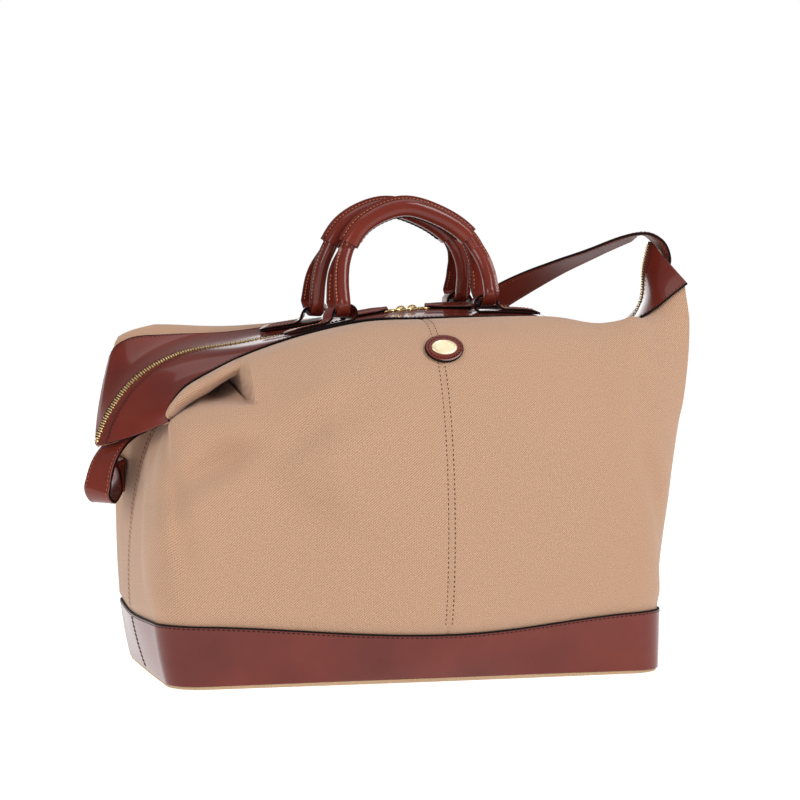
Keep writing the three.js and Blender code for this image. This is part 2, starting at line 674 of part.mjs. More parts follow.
// Middle line of a handle: down a flat strap to its foot, over the rolled arch, and up the other flat strap.
const HANDLE_PARTS = [0.12, 0.27, 0.73, 0.88];
function handleFrame(handle, t) {
  const [flatEnd, tubeStart, tubeEnd, flatStart] = HANDLE_PARTS;
  const onTube = t >= tubeStart && t <= tubeEnd;
  const left = t < 0.5;
  const flatShare = left ? t / flatEnd : (1 - t) / (1 - flatStart);
  if (onTube) {
    const { point, inside, high } = archAt(handle, (t - tubeStart) / (tubeEnd - tubeStart));
    point.y = lerp(handle.tubeFootY, handle.gripY + TUBE.sideShift, high);
    return { point, inside, roll: 1, width: FOOT_BEND.width, thickness: FOOT_BEND.thickness };
  }
  if (flatShare <= 1) {
    const [reachLeft, reachRight] = FLAT.reach;
    const at = left ? lerp(reachLeft, 0, flatShare) : lerp(reachRight, 1, flatShare);
    const { point, inside, high } = archAt(handle, at);
    point.y = lerp(handle.flatFootY, handle.gripY + FLAT.sideShift, high);
    const width = lerp(FLAT.endWidth, FLAT.width, smoothstep(flatShare, 0, FLAT.taper));
    return { point, inside, roll: 0, width, thickness: FLAT.thickness };
  }
  const bend = left ? (t - flatEnd) / (tubeStart - flatEnd) : (flatStart - t) / (flatStart - tubeEnd);
  const { point, inside } = archAt(handle, left ? 0 : 1);
  const middleY = (handle.flatFootY + handle.tubeFootY) / 2;
  point.y = middleY + (handle.flatFootY - middleY) * Math.cos(bend * Math.PI);
  const dip = point.z - topAbove(point.x, middleY).middle.z - FOOT_BEND.eye;
  point.z -= dip * Math.sin(bend * Math.PI);
  const swell = Math.sin(bend * Math.PI);
  const width = lerp(FLAT.width, FOOT_BEND.width, Math.max(bend, swell));
  const thickness = lerp(FLAT.thickness, FOOT_BEND.thickness, swell);
  return { point, inside, roll: smoothstep(bend, FOOT_BEND.rolledFrom, 1), width, thickness };
}

// A sine or cosine whose circle is drawn out toward a square.
function squared(value, power) {
  return Math.sign(value) * Math.abs(value) ** power;
}

// Outline of a handle's section at an angle: a flat strap with round edges, or a roll with a sewn fin.
function handleSection(angle, { roll, width, thickness }) {
  const [c, s] = [Math.cos(angle), Math.sin(angle)];
  const flat = new THREE.Vector2(squared(c, FLAT.edge) * (width / 2), squared(s, FLAT.edge) * (thickness / 2));
  const onFin = c < -0.99;
  const radius = onFin ? TUBE.fin : TUBE.radius;
  return flat.lerp(new THREE.Vector2(c * radius, s * radius), roll);
}

for (const handle of HANDLES) {
  const rod = new THREE.CylinderGeometry(1, 1, 1, HANDLE_STEPS.around, HANDLE_STEPS.along);
  const body = shaped(rod, (at) => {
    const step = 0.004;
    const t = at.y + 0.5;
    const frame = handleFrame(handle, t);
    const ahead = handleFrame(handle, Math.min(t + step, 1)).point;
    const tangent = ahead.sub(handleFrame(handle, Math.max(t - step, 0)).point).normalize();
    const sideways = tangent.clone().cross(frame.inside).normalize();
    const inside = sideways.clone().cross(tangent).normalize();
    const section = handleSection(Math.atan2(at.x, at.z), frame);
    const reach = Math.min(1, Math.hypot(at.x, at.z));
    return offset(frame.point, [inside, section.x * reach], [sideways, section.y * reach]);
  });
  piece(`handle_${handle.name}`, body, LEATHER);
}

// Grip: a sleeve round the middle of a handle, which holds the ends of the flat straps too.
function grip(handle) {
  const steps = 9;
  const around = 12;
  const loop = 2 * (steps + 1);
  return shaped(new THREE.TorusGeometry(2, 1, loop, around), (at) => {
    const turn = Math.atan2(at.y, at.x);
    const round = Math.atan2(at.z, Math.hypot(at.x, at.y) - 2) / (2 * Math.PI);
    const station = Math.round(round * loop + loop) % loop;
    const outer = station <= steps;
    const t = outer ? station / steps : (loop - 1 - station) / steps;
    const { point, inside } = archAt(handle, lerp(GRIP.from, GRIP.to, t));
    point.y = handle.gripY + GRIP.sideShift;
    const inset = outer ? 0 : GRIP.wall;
    const [c, s] = [Math.cos(turn), Math.sin(turn)];
    const halfIn = (GRIP.inPlane / 2 - inset) * squared(c, GRIP.edge);
    const halfSide = (GRIP.depth / 2 - inset) * squared(s, GRIP.edge);
    return offset(point, [inside, halfIn - GRIP.outShift], [vec(0, 1, 0), halfSide]);
  });
}
for (const handle of HANDLES) {
  piece(`grip_${handle.name}`, grip(handle), LEATHER);
}

// Tabs at the four feet.
for (const handle of HANDLES) {
  for (const foot of FEET) {
    const x = archAt(handle, foot.at).point.x;
    const y = (handle.tubeFootY + handle.flatFootY) / 2;
    const { normal: lean } = topAbove(x, y);
    const rows = table(TAB_COLUMNS, TAB_ROWS);
    const places = rows.map((row) => {
      const frame = topAbove(x - lean.x * FOOT_BEND.eye + foot.out * row.out, y - lean.y * FOOT_BEND.eye);
      return { ...frame, middle: offset(frame.middle, [frame.normal, row.up]) };
    });
    const path = new THREE.CatmullRomCurve3(places.map((frame) => frame.middle));
    const tab = ribbon(rows.length - 1, (t) => {
      const i = Math.round(t * (rows.length - 1));
      const tangent = path.getTangent(i / (rows.length - 1));
      const { across } = places[i];
      const normal = tangent.clone().cross(across).normalize();
      const halfWidth = lerp(TAB.width, TAB.tipWidth, rows[i].narrow) / 2;
      return { middle: places[i].middle, across, normal, halfWidth, halfThickness: TAB.thickness / 2 };
    });
    piece(`tab_${handle.name}_${foot.name}`, tab, LEATHER);
  }
}

// Badge: an oval that follows the bend of the front.
function oval(frame, { halfWidth, halfHeight, wall: thickness }, lift) {
  const around = 20;
  const disc = new THREE.CylinderGeometry(1, 1, 1, around, 1);
  const tilt = degToRad(BADGE.tilt);
  return shaped(disc, (at) => {
    const [a, b] = [at.x * halfWidth, at.z * halfHeight];
    const x = a * Math.cos(tilt) - b * Math.sin(tilt);
    const z = a * Math.sin(tilt) + b * Math.cos(tilt);
    const sag = (z * z) / (2 * BADGE.bend);
    const depth = lift + (at.y + 0.5) * thickness - sag;
    return offset(frame.middle, [frame.across, x], [frame.forward, z], [frame.normal, depth]);
  });
}

// Directions of a canvas panel at one place: across it, up it and out of it.
function canvasFrame(side, share, rise) {
  const step = 0.01;
  const middle = canvasPoint(side, share, rise);
  const across = canvasPoint(side, share + step, rise).sub(canvasPoint(side, share - step, rise)).normalize();
  const forward = canvasPoint(side, share, rise + step).sub(canvasPoint(side, share, rise - step));
  forward.normalize();
  const normal = across.clone().cross(forward).normalize();
  if (normal.dot(outward(side, share)) < 0) {
    normal.negate();
  }
  return { middle, across, forward, normal };
}
const badgeFrame = canvasFrame(SIDES[1], BADGE.share, BADGE.rise);
piece('badge_leather', oval(badgeFrame, BADGE, GAP), LEATHER);
piece('badge_plate', oval(badgeFrame, PLATE, BADGE.wall + 2 * GAP), BRASS);

// A strap through stations that each have a point and a direction across.
function strap(stations, steps) {
  const line = new THREE.CatmullRomCurve3(stations.map((station) => station.point));
  const turn = new THREE.CatmullRomCurve3(stations.map((station) => station.across));
  return ribbon(steps, (t) => {
    const tangent = line.getTangent(t);
    const across = turn.getPoint(t);
    across.addScaledVector(tangent, -across.dot(tangent)).normalize();
    const normal = tangent.clone().cross(across).normalize();
    const [halfWidth, halfThickness] = [STRAP.width / 2, STRAP.thickness / 2];
    return { middle: line.getPoint(t), across, normal, halfWidth, halfThickness };
  });
}

// Stations of a strap from a table.
function strapRows(rows) {
  return table(STRAP_COLUMNS, rows).map((row) => ({
    point: vec(row.x, row.y, row.z),
    across: vec(row.acrossX, row.acrossY, row.acrossZ).normalize(),
  }));
}

// Rise at which the lower part of a panel is at height z.
function riseAt(side, share, z) {
  let [low, high] = [0, 1];
  for (let i = 0; i < 30; i += 1) {
    const rise = (low + high) / 2;
    if (canvasPoint(side, share, rise).z < z) {
      low = rise;
    } else {
      high = rise;
    }
  }
  return low;
}

// How far the canvas under a strap's width stands above the tangent plane of a frame.
function humpUnder(side, share, z, frame) {
  const heights = [];
  const near = [-0.03, 0, 0.03];
  const edgeToEdge = [-1, -0.5, 0, 0.5, 1];
  for (const beside of near) {
    for (const up of edgeToEdge) {
      const at = clamp(share + beside, 0, 1);
      const below = canvasPoint(side, at, riseAt(side, at, z + (up * STRAP.width) / 2));
      heights.push(below.sub(frame.middle).dot(frame.normal));
    }
  }
  return Math.max(...heights);
}

// Stations of the long strap: over the back of the bag, free over the right wing, and down to its end seam.
function longStations() {
  const laid = [];
  const besideSeam = 0.01;
  for (const side of [SIDES[2], SIDES[3]]) {
    for (const { share, z } of table(STRAP_BACK_COLUMNS, STRAP_BACK[side.name])) {
      const frame = canvasFrame(side, Math.max(share, besideSeam), riseAt(side, share, z));
      const lift = STRAP.thickness / 2 + STRAP_LIFT + humpUnder(side, share, z, frame);
      const point = offset(frame.middle, [frame.normal, lift]);
      laid.push({ point, normal: frame.normal });
    }
  }
  laid.forEach((station, i) => {
    const ahead = laid[Math.min(i + 1, laid.length - 1)].point.clone();
    const tangent = ahead.sub(laid[Math.max(i - 1, 0)].point).normalize();
    station.across = tangent.cross(station.normal).normalize();
  });
  const sewn = STRAP_END.heights.map((z) => {
    const near = [SIDES[1], SIDES[3]].flatMap((side) => (
      STRAP_END.shares.map((share) => canvasPoint(side, share, riseAt(side, share, z)).x)
    ));
    return { point: vec(Math.max(...near) + STRAP.thickness / 2 + STRAP_LIFT, 0, z), across: vec(0, -1, 0) };
  });
  return [...laid, ...strapRows(STRAP_RIGHT), ...sewn];
}
const LONG = longStations();
const joinForward = LONG[1].point.clone().sub(LONG[0].point).normalize();
const shortStations = strapRows(STRAP_SHORT);
for (const { back, out } of table(['back', 'out'], STRAP_JOIN)) {
  const point = offset(LONG[0].point, [joinForward, -back], [LONG[0].normal, out]);
  shortStations.push({ point, across: LONG[0].across.clone().negate() });
}
piece('strap_long', strap(LONG, 2 * (LONG.length - 1)), LEATHER);
piece('strap_short', strap(shortStations, 2 * (shortStations.length - 1)), LEATHER);

// Buckle: a brass frame and its prong, on the outer face of the strap where the two lengths meet.
function buckleSeat() {
  const forward = LONG[2].point.clone().sub(LONG[0].point).normalize();
  const across = LONG[1].across.clone().negate();
  across.addScaledVector(forward, -across.dot(forward)).normalize();
  const normal = forward.clone().cross(across).normalize();
  return { middle: LONG[1].point, forward, across, normal };
}
const seat = buckleSeat();
function buckleFrame(lift) {
  return { ...seat, middle: offset(seat.middle, [seat.normal, STRAP.thickness / 2 + lift]) };
}
const buckleShape = rounded(BUCKLE.length, BUCKLE.width, BUCKLE.corner);
const [openLength, openWidth] = [BUCKLE.length, BUCKLE.width].map((size) => size - 2 * BUCKLE.bar);
buckleShape.holes.push(rounded(openLength, openWidth, BUCKLE.corner / 2, THREE.Path));
piece('buckle_frame', seated(plate(buckleShape, BUCKLE.wire, 3), buckleFrame(BUCKLE.lift)), BRASS);
const prongCorner = BUCKLE.prong / 2 - 0.1;
const prong = plate(rounded(BUCKLE.length, BUCKLE.prong, prongCorner), BUCKLE.prong, 2);
piece('buckle_prong', seated(prong, buckleFrame(BUCKLE.lift + BUCKLE.wire + GAP)), BRASS);

export default bag;
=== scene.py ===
"""Travel bag in twill canvas and glossy leather, dressed over its CAD frame and lit as a plain studio product.

Shapes are worked out in millimetres in the CAD frame (+X along the bag, +Y to its back, +Z up) and built in metres.
"""

import logging
import math
from collections.abc import Callable, Sequence
from dataclasses import dataclass, field
from enum import Enum
from functools import lru_cache

import bmesh
import bpy
import numpy as np
from mathutils import Matrix, Vector

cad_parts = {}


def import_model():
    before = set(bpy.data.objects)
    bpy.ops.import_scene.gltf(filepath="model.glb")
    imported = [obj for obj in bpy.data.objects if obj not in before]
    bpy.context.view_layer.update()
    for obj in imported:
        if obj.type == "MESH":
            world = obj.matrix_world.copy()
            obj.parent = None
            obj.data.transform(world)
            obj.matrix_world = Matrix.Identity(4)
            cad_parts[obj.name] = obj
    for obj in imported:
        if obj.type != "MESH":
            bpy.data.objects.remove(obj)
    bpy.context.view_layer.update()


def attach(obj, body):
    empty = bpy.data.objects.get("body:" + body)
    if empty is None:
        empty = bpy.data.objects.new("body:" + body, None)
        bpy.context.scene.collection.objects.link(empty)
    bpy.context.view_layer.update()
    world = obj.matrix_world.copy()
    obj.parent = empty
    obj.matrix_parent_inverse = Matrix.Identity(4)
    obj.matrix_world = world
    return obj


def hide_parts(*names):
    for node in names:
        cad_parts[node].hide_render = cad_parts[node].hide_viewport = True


# Short names for the types that come up most.
Array = np.ndarray
Number = float | np.ndarray
Span = tuple[float, float]
Triple = tuple[float, float, float]
Picker = Callable[[int, int], int]
Mesh = bmesh.types.BMesh
Piece = bpy.types.Object
Node, Tree, Socket = bpy.types.Node, bpy.types.NodeTree, bpy.types.NodeSocket

LOG = logging.getLogger("travel_bag")
MM = 0.001
UP = np.array([0.0, 0.0, 1.0])
SIDEWAYS = np.array([0.0, 1.0, 0.0])
SHARP_EDGE = math.radians(42)
WHITE = (1.0, 1.0, 1.0, 1.0)
UV_NAME = "metres"

# Panels turn the corner of the bag between these shares of their width.
SEAM_X = 16.0
TURN_FROM, TURN_TO = 0.56, 0.75
CORNER = (TURN_FROM + TURN_TO) / 2
FACING_FROM, FACING_TO = 0.42, 0.86
BAND_LEAN, BAND_BEND = 0.36, 0.55

# Zip line, front edge and back edge of the leather top, from the left wing to the right one.
TOP_MIDDLE_ROW = 7
TOP_COLUMNS = ("zip_x", "zip_z", "front_x", "front_y", "front_z", "back_x", "back_y", "back_z")
TOP_ROWS = (
    (-288, 218, -228, -62, 243, -265, 60, 297),
    (-275, 247, -227, -62, 257, -259, 60, 308),
    (-250, 279, -213, -58, 275, -243, 58, 317),
    (-208, 303, -186, -54, 290, -208, 54, 320),
    (-150, 313, -145, -51, 308, -152, 52, 322),
    (-89, 323, -89, -50, 326, -95, 51, 329),
    (-35, 334.5, -35, -50, 336.5, -35, 50, 337.5),
    (17, 341.5, 17, -50, 337.5, 17, 50, 339.5),
    (80, 342, 80, -50, 338.5, 80, 50, 340.5),
    (140, 339, 140, -50, 337, 140, 50, 338),
    (195, 323, 190, -52, 328, 192, 53, 325),
    (240, 327, 224, -57, 333, 238, 59, 321),
    (255, 352, 247, -62, 345, 263, 64, 331),
    (256, 384, 265, -65, 359, 273, 66, 350),
    (262, 410, 279, -66, 369, 279, 66, 371),
)
WING_CREASE, WING_CREASE_FROM = 0.7, 0.55
RIGHT_FLAT = (0.45, 0.7)
WING_HEM_OUT, WING_HEM_DOWN = 0.3, 1.8
WING_FROM, WING_TO = CORNER - 0.15, CORNER - 0.03
PANEL_GAP = 0.35

# How each panel swells above the band and rolls over to the leather top: share, swell, reach, rise.
RIGHT_ROLL = ((0.3, 80, 90, 26), (0.48, 85, 66, 44), (CORNER, 120, 12, -110), (1, 100, 26, -70))
SHOULDERS = {
    "front_left": ((0, 80, 116, 7), (0.25, 75, 108, 4), (0.42, 70, 70, -6), (CORNER, 80, 40, -30), (1, 30, 10, -60)),
    "front_right": ((0, 80, 116, 7), *RIGHT_ROLL),
    "back_left": (
        (0, 80, 98, 6), (0.28, 80, 90, 30), (0.52, 90, 60, 58), (0.6, 60, 40, 40), (CORNER, 40, -8, -70),
        (1, 30, -34, -60),
    ),
    "back_right": ((0, 80, 98, 6), *RIGHT_ROLL),
}

# The tuck under the drooping wing: share, valley in and up, lip out and up, throat out and up, shoulder out and up.
TUCK_SPLIT = 0.7
TUCK_ROWS = (
    (0.4, -4, -17, 22, 2, 18, 1, 42, -3),
    (0.45, 4, -19, 22, 0, 21, 1, 46, -4),
    (0.5, 8, -21, 20, -1, 24, -1, 48, -5),
    (0.55, 8, -19, 17, -2, 24, -4, 48, -6),
    (0.6, 10, -14.5, 15, -4, 21, -7, 44, -10),
    (CORNER, 24, 2, 0, -1, 12, -1, 50, -14),
    (0.83, 50, 28, -14, 6, 20, 2, 32, -24),
    (1, 70, 28, -18, 8, 24, 2, 38, -26),
)
TUCK_FADE = {
    "front_left": ((0.412, 0.432), (0.2, 0.52)),
    "back_left": ((0.66, 0.92), (0.66, 0.92)),
}
LOW_FADE = {"front_left": (0.4, 0.6), "back_left": (0.66, 0.92)}
LOW_BLEND = (0.65, 0.698)

# Arch of the handles, x and z from foot to foot.
ARCH_ROWS = (
    (-56, 351), (-55, 372), (-50, 394), (-31, 425), (7, 441.5), (43, 432.5), (71, 414), (84, 392), (87.5, 375),
    (87.5, 361),
)

# Tabs: how far out from the foot and up from the leather the folded strip runs.
TAB_ROWS = (
    (55, 1.45), (51, 1.45), (44, 1.45), (28, 1.45), (12, 1.45), (0, 1.45), (-7, 1.7), (-11.5, 5.5), (-11.5, 11.5),
    (-7, 16.2), (0, 17.2), (7, 16.2), (11, 11.5), (13, 7), (18, 4.3), (28, 4.05), (42, 4.05), (50, 3.5),
    (55, 2.6),
)

# Shoulder strap: points and directions across it, and where it lies on the back, by share and height.
STRAP_SHORT = (
    (-243, -2, 232, 0, 1, 0.05),
    (-254, -3, 228.5, -0.15, 1, 0.1),
    (-268, -5, 219, -0.35, 0.9, 0.1),
    (-280, -8, 203, -0.5, 0.85, 0.1),
    (-286, -10, 184, -0.6, 0.8, 0.1),
    (-287, -10, 172, -0.6, 0.8, 0.1),
    (-281, -5, 165, -0.6, 0.8, 0),
    (-274, 1, 169, -0.5, 0.8, -0.2),
    (-269, 12, 177, -0.3, 0.7, -0.6),
    (-265, 24, 182, -0.1, 0.4, -0.9),
)
STRAP_BACK_LEFT = (
    (0.85, 187), (0.78, 189), (0.72, 192), (0.67, 195), (0.645, 197), (0.62, 199), (0.59, 202), (0.56, 206),
    (0.52, 211), (0.46, 219), (0.36, 234), (0.2, 259),
)
STRAP_BACK_RIGHT = ((0, 288), (0.07, 298), (0.14, 308))
STRAP_RIGHT = (
    (110, 113, 331, -0.48, -0.47, 0.73),
    (144, 101, 355, -0.6, -0.5, 0.62),
    (189, 76, 381, -0.75, -0.6, 0.28),
    (217, 34, 398, -0.74, -0.66, 0.1),
    (241, 7, 411, -0.6, -0.78, 0.1),
    (257, 1, 416.5, -0.15, -0.98, 0),
    (270, 0, 410, 0, -1, 0),
    (279, 0, 392, 0, -1, 0),
)
STRAP_END_HEIGHTS = (372, 356, 340)
STRAP_END_SHARES = (0.9, 0.93, 0.96, 0.99)
STRAP_JOIN = ((9, 1.5), (1, 0))


class Named(Enum):
    """A choice whose name is part of the CAD nodes' names."""

    @property
    def label(self) -> str:
        """Name as used by the CAD nodes."""
        return self.name.lower()


class Side(Named):
    """A quarter of the bag, by the signs of its X and Y."""

    FRONT_LEFT = (-1, -1)
    FRONT_RIGHT = (1, -1)
    BACK_LEFT = (-1, 1)
    BACK_RIGHT = (1, 1)

    @property
    def x(self) -> int:
        """Sign of the quarter's X."""
        return self.value[0]

    @property
    def y(self) -> int:
        """Sign of the quarter's Y."""
        return self.value[1]


class Half(Named):
    """Front or back half of the bag, by the sign of its Y."""

    FRONT = -1
    BACK = 1


class End(Named):
    """Left or right end of the bag, by the sign of its X."""

    LEFT = -1
    RIGHT = 1


class Slot(Enum):
    """Material slots of the record."""

    CANVAS = "canvas"
    LEATHER = "leather"
    TAPE = "zip_tape"
    BRASS = "brass"


def smooth(value: Number, low: float, high: float) -> Number:
    """Eases from 0 at low to 1 at high."""
    t = np.clip((value - low) / (high - low), 0.0, 1.0)
    return t * t * (3.0 - 2.0 * t)


def window(value: Number, up: Span, down: Span) -> Number:
    """Eases up to 1 over one span and back to 0 over another."""
    return smooth(value, *up) * (1 - smooth(value, *down))


def bell(value: Number, middle: float, width: float) -> Number:
    """A bump of height 1 round a middle."""
    return np.exp(-(((value - middle) / width) ** 2))


def mix(a: Number, b: Number, t: Number) -> Number:
    """Value between a and b at share t."""
    return a + (b - a) * t


def unit(vector: Array) -> Array:
    """The vector, or each of an array of vectors, at length one."""
    return vector / np.maximum(np.linalg.norm(vector, axis=-1, keepdims=True), 1e-12)


def squared(value: Number, power: float) -> Number:
    """A sine or cosine whose circle is drawn out toward a square."""
    return np.sign(value) * np.abs(value) ** power


def bezier(control: Array, t: Array) -> Array:
    """Points of a cubic curve.

    Args:
        control: Four control points.
        t: Shares along the curve.

    Returns:
        One point for each share.
    """
    s = (1.0 - t)[:, None]
    t = t[:, None]
    a, b, c, d = control
    return s**3 * a + 3 * s * s * t * b + 3 * s * t * t * c + t**3 * d


def full_turn(count: int) -> Array:
    """Angles spread evenly round a full turn."""
    return np.linspace(0.0, 2 * math.pi, count, endpoint=False)


def round_outline(
    count: int, half_width: float, half_height: float, powers: Span = (1.0, 1.0)
) -> Array:
    """Closed outline round its middle, an oval or a box with round edges.

    Args:
        count: Points of the outline.
        half_width: Reach along the first axis.
        half_height: Reach along the second axis.
        powers: Powers of the cosine and the sine, lower for a squarer outline.

    Returns:
        One row of two distances for each point.
    """
    turns = full_turn(count)
    wide, high = squared(np.cos(turns), powers[0]), squared(np.sin(turns), powers[1])
    return np.stack([wide * half_width, high * half_height], axis=1)


def lengths_along(points: Array, axis: int = 0) -> Array:
    """Length from the start of a line, or of each line of a grid, to each of its points."""
    steps = np.diff(points, axis=axis, prepend=np.take(points, [0], axis=axis))
    return np.cumsum(np.linalg.norm(steps, axis=-1), axis=axis)


def halved(low: float, high: float, below: Callable[[float], bool], rounds: int) -> float:
    """Finds by halving how far a test holds in a range.

    Args:
        low: Start of the range, where it holds.
        high: End of the range.
        below: The test.
        rounds: How often the range is halved.

    Returns:
        The last value found at which it holds.
    """
    for _ in range(rounds):
        middle = (low + high) / 2
        low, high = (middle, high) if below(middle) else (low, middle)
    return low


class Spline:
    """Open centripetal spline through points."""

    def __init__(self, points: Sequence[Sequence[float]], steps: int = 40) -> None:
        """Keeps the points and measures the spline.

        Args:
            points: Points that the spline runs through.
            steps: Steps between neighbouring points when it is measured.
        """
        self.points = np.asarray(points, float)
        before = 2 * self.points[0] - self.points[1]
        after = 2 * self.points[-1] - self.points[-2]
        self._run = np.vstack([before, self.points, after])
        self._shares = np.linspace(0.0, 1.0, steps * (len(self.points) - 1) + 1)
        path = np.array([self.at(t) for t in self._shares])
        self._lengths = lengths_along(path)
        self._steps = steps

    def at(self, t: float) -> Array:
        """Point at a share of the stations.

        Args:
            t: 0 at the first point and 1 at the last.

        Returns:
            The point.
        """
        last = len(self.points) - 1
        i = min(int(max(t, 0.0) * last), last - 1)
        w = t * last - i
        x0, x1, x2, x3 = self._run[i : i + 4]
        d0, d1, d2 = (float(np.sum((b - a) ** 2)) ** 0.25 for a, b in ((x0, x1), (x1, x2), (x2, x3)))
        d1 = d1 if d1 > 1e-4 else 1.0
        d0 = d0 if d0 > 1e-4 else d1
        d2 = d2 if d2 > 1e-4 else d1
        t1 = ((x1 - x0) / d0 - (x2 - x0) / (d0 + d1) + (x2 - x1) / d1) * d1
        t2 = ((x2 - x1) / d1 - (x3 - x1) / (d1 + d2) + (x3 - x2) / d2) * d1
        return x1 + t1 * w + (-3 * x1 + 3 * x2 - 2 * t1 - t2) * w * w + (2 * x1 - 2 * x2 + t1 + t2) * w**3

    def tangent(self, t: float) -> Array:
        """Unit direction at a share of the stations."""
        step = 1e-4
        return unit(self.at(min(t + step, 1.0)) - self.at(max(t - step, 0.0)))

    def at_length(self, share: float) -> Array:
        """Point at a share of the length."""
        return self.at(np.interp(share * self._lengths[-1], self._lengths, self._shares))

    def length_share(self, station: int) -> float:
        """Share of the length at one of the points."""
        return float(self._lengths[self._steps * station] / self._lengths[-1])


@dataclass(frozen=True)
class Ring:
    """Outline of the base band at one height, in millimetres."""

    centre_x: float
    half_length: float
    half_depth: float
    radius: float
    middle_bulge: float
    end_bulge: float
    middle_z: float
    corner_z: float
    end_z: float

    def point(self, side: Side, share: float) -> Array:
        """Point of one quarter.

        Args:
            side: The quarter.
            share: 0 at the seam in the middle, 1 at the middle of the end.

        Returns:
            The point.
        """
        along_middle = min(max(share / TURN_FROM, 0.0), 1.0)
        turn = min(max((share - TURN_FROM) / (TURN_TO - TURN_FROM), 0.0), 1.0) * math.pi / 2
        along_end = min(max((share - TURN_TO) / (1 - TURN_TO), 0.0), 1.0)
        near_middle = math.cos(min(1.0, share / CORNER) * math.pi / 2) ** 2
        near_end = math.cos(min(1.0, (1 - share) / (1 - CORNER)) * math.pi / 2) ** 2
        corner_x = self.centre_x + side.x * (self.half_length - self.radius)
        corner_y = side.y * (self.half_depth - self.radius)
        out = self.radius * math.sin(turn) + self.end_bulge * near_end
        deep = self.radius * math.cos(turn) + self.middle_bulge * near_middle
        x = mix(SEAM_X, corner_x, along_middle) + side.x * out
        y = mix(corner_y, 0.0, along_end) + side.y * deep
        dip = (self.corner_z - self.middle_z) * near_middle + (self.corner_z - self.end_z) * near_end
        return np.array([x, y, self.corner_z - dip])


BAND_FOOT = Ring(0, 239, 125, 30, 3, 1, 4.95, 4.95, 4.95)
BAND_TOP = Ring(-4, 244, 128, 34, 24, 6, 47, 60, 58)


@dataclass(frozen=True)
class Frame:
    """A place with its three directions."""

    middle: Array
    forward: Array
    across: Array
    normal: Array

    def moved(self, lift: float) -> "Frame":
        """The same frame, raised along its normal."""
        return Frame(self.middle + self.normal * lift, self.forward, self.across, self.normal)

    def place(self, x: float, y: float, z: float) -> Array:
        """Point at distances forward, across and along the normal."""
        return self.middle + self.forward * x + self.across * y + self.normal * z


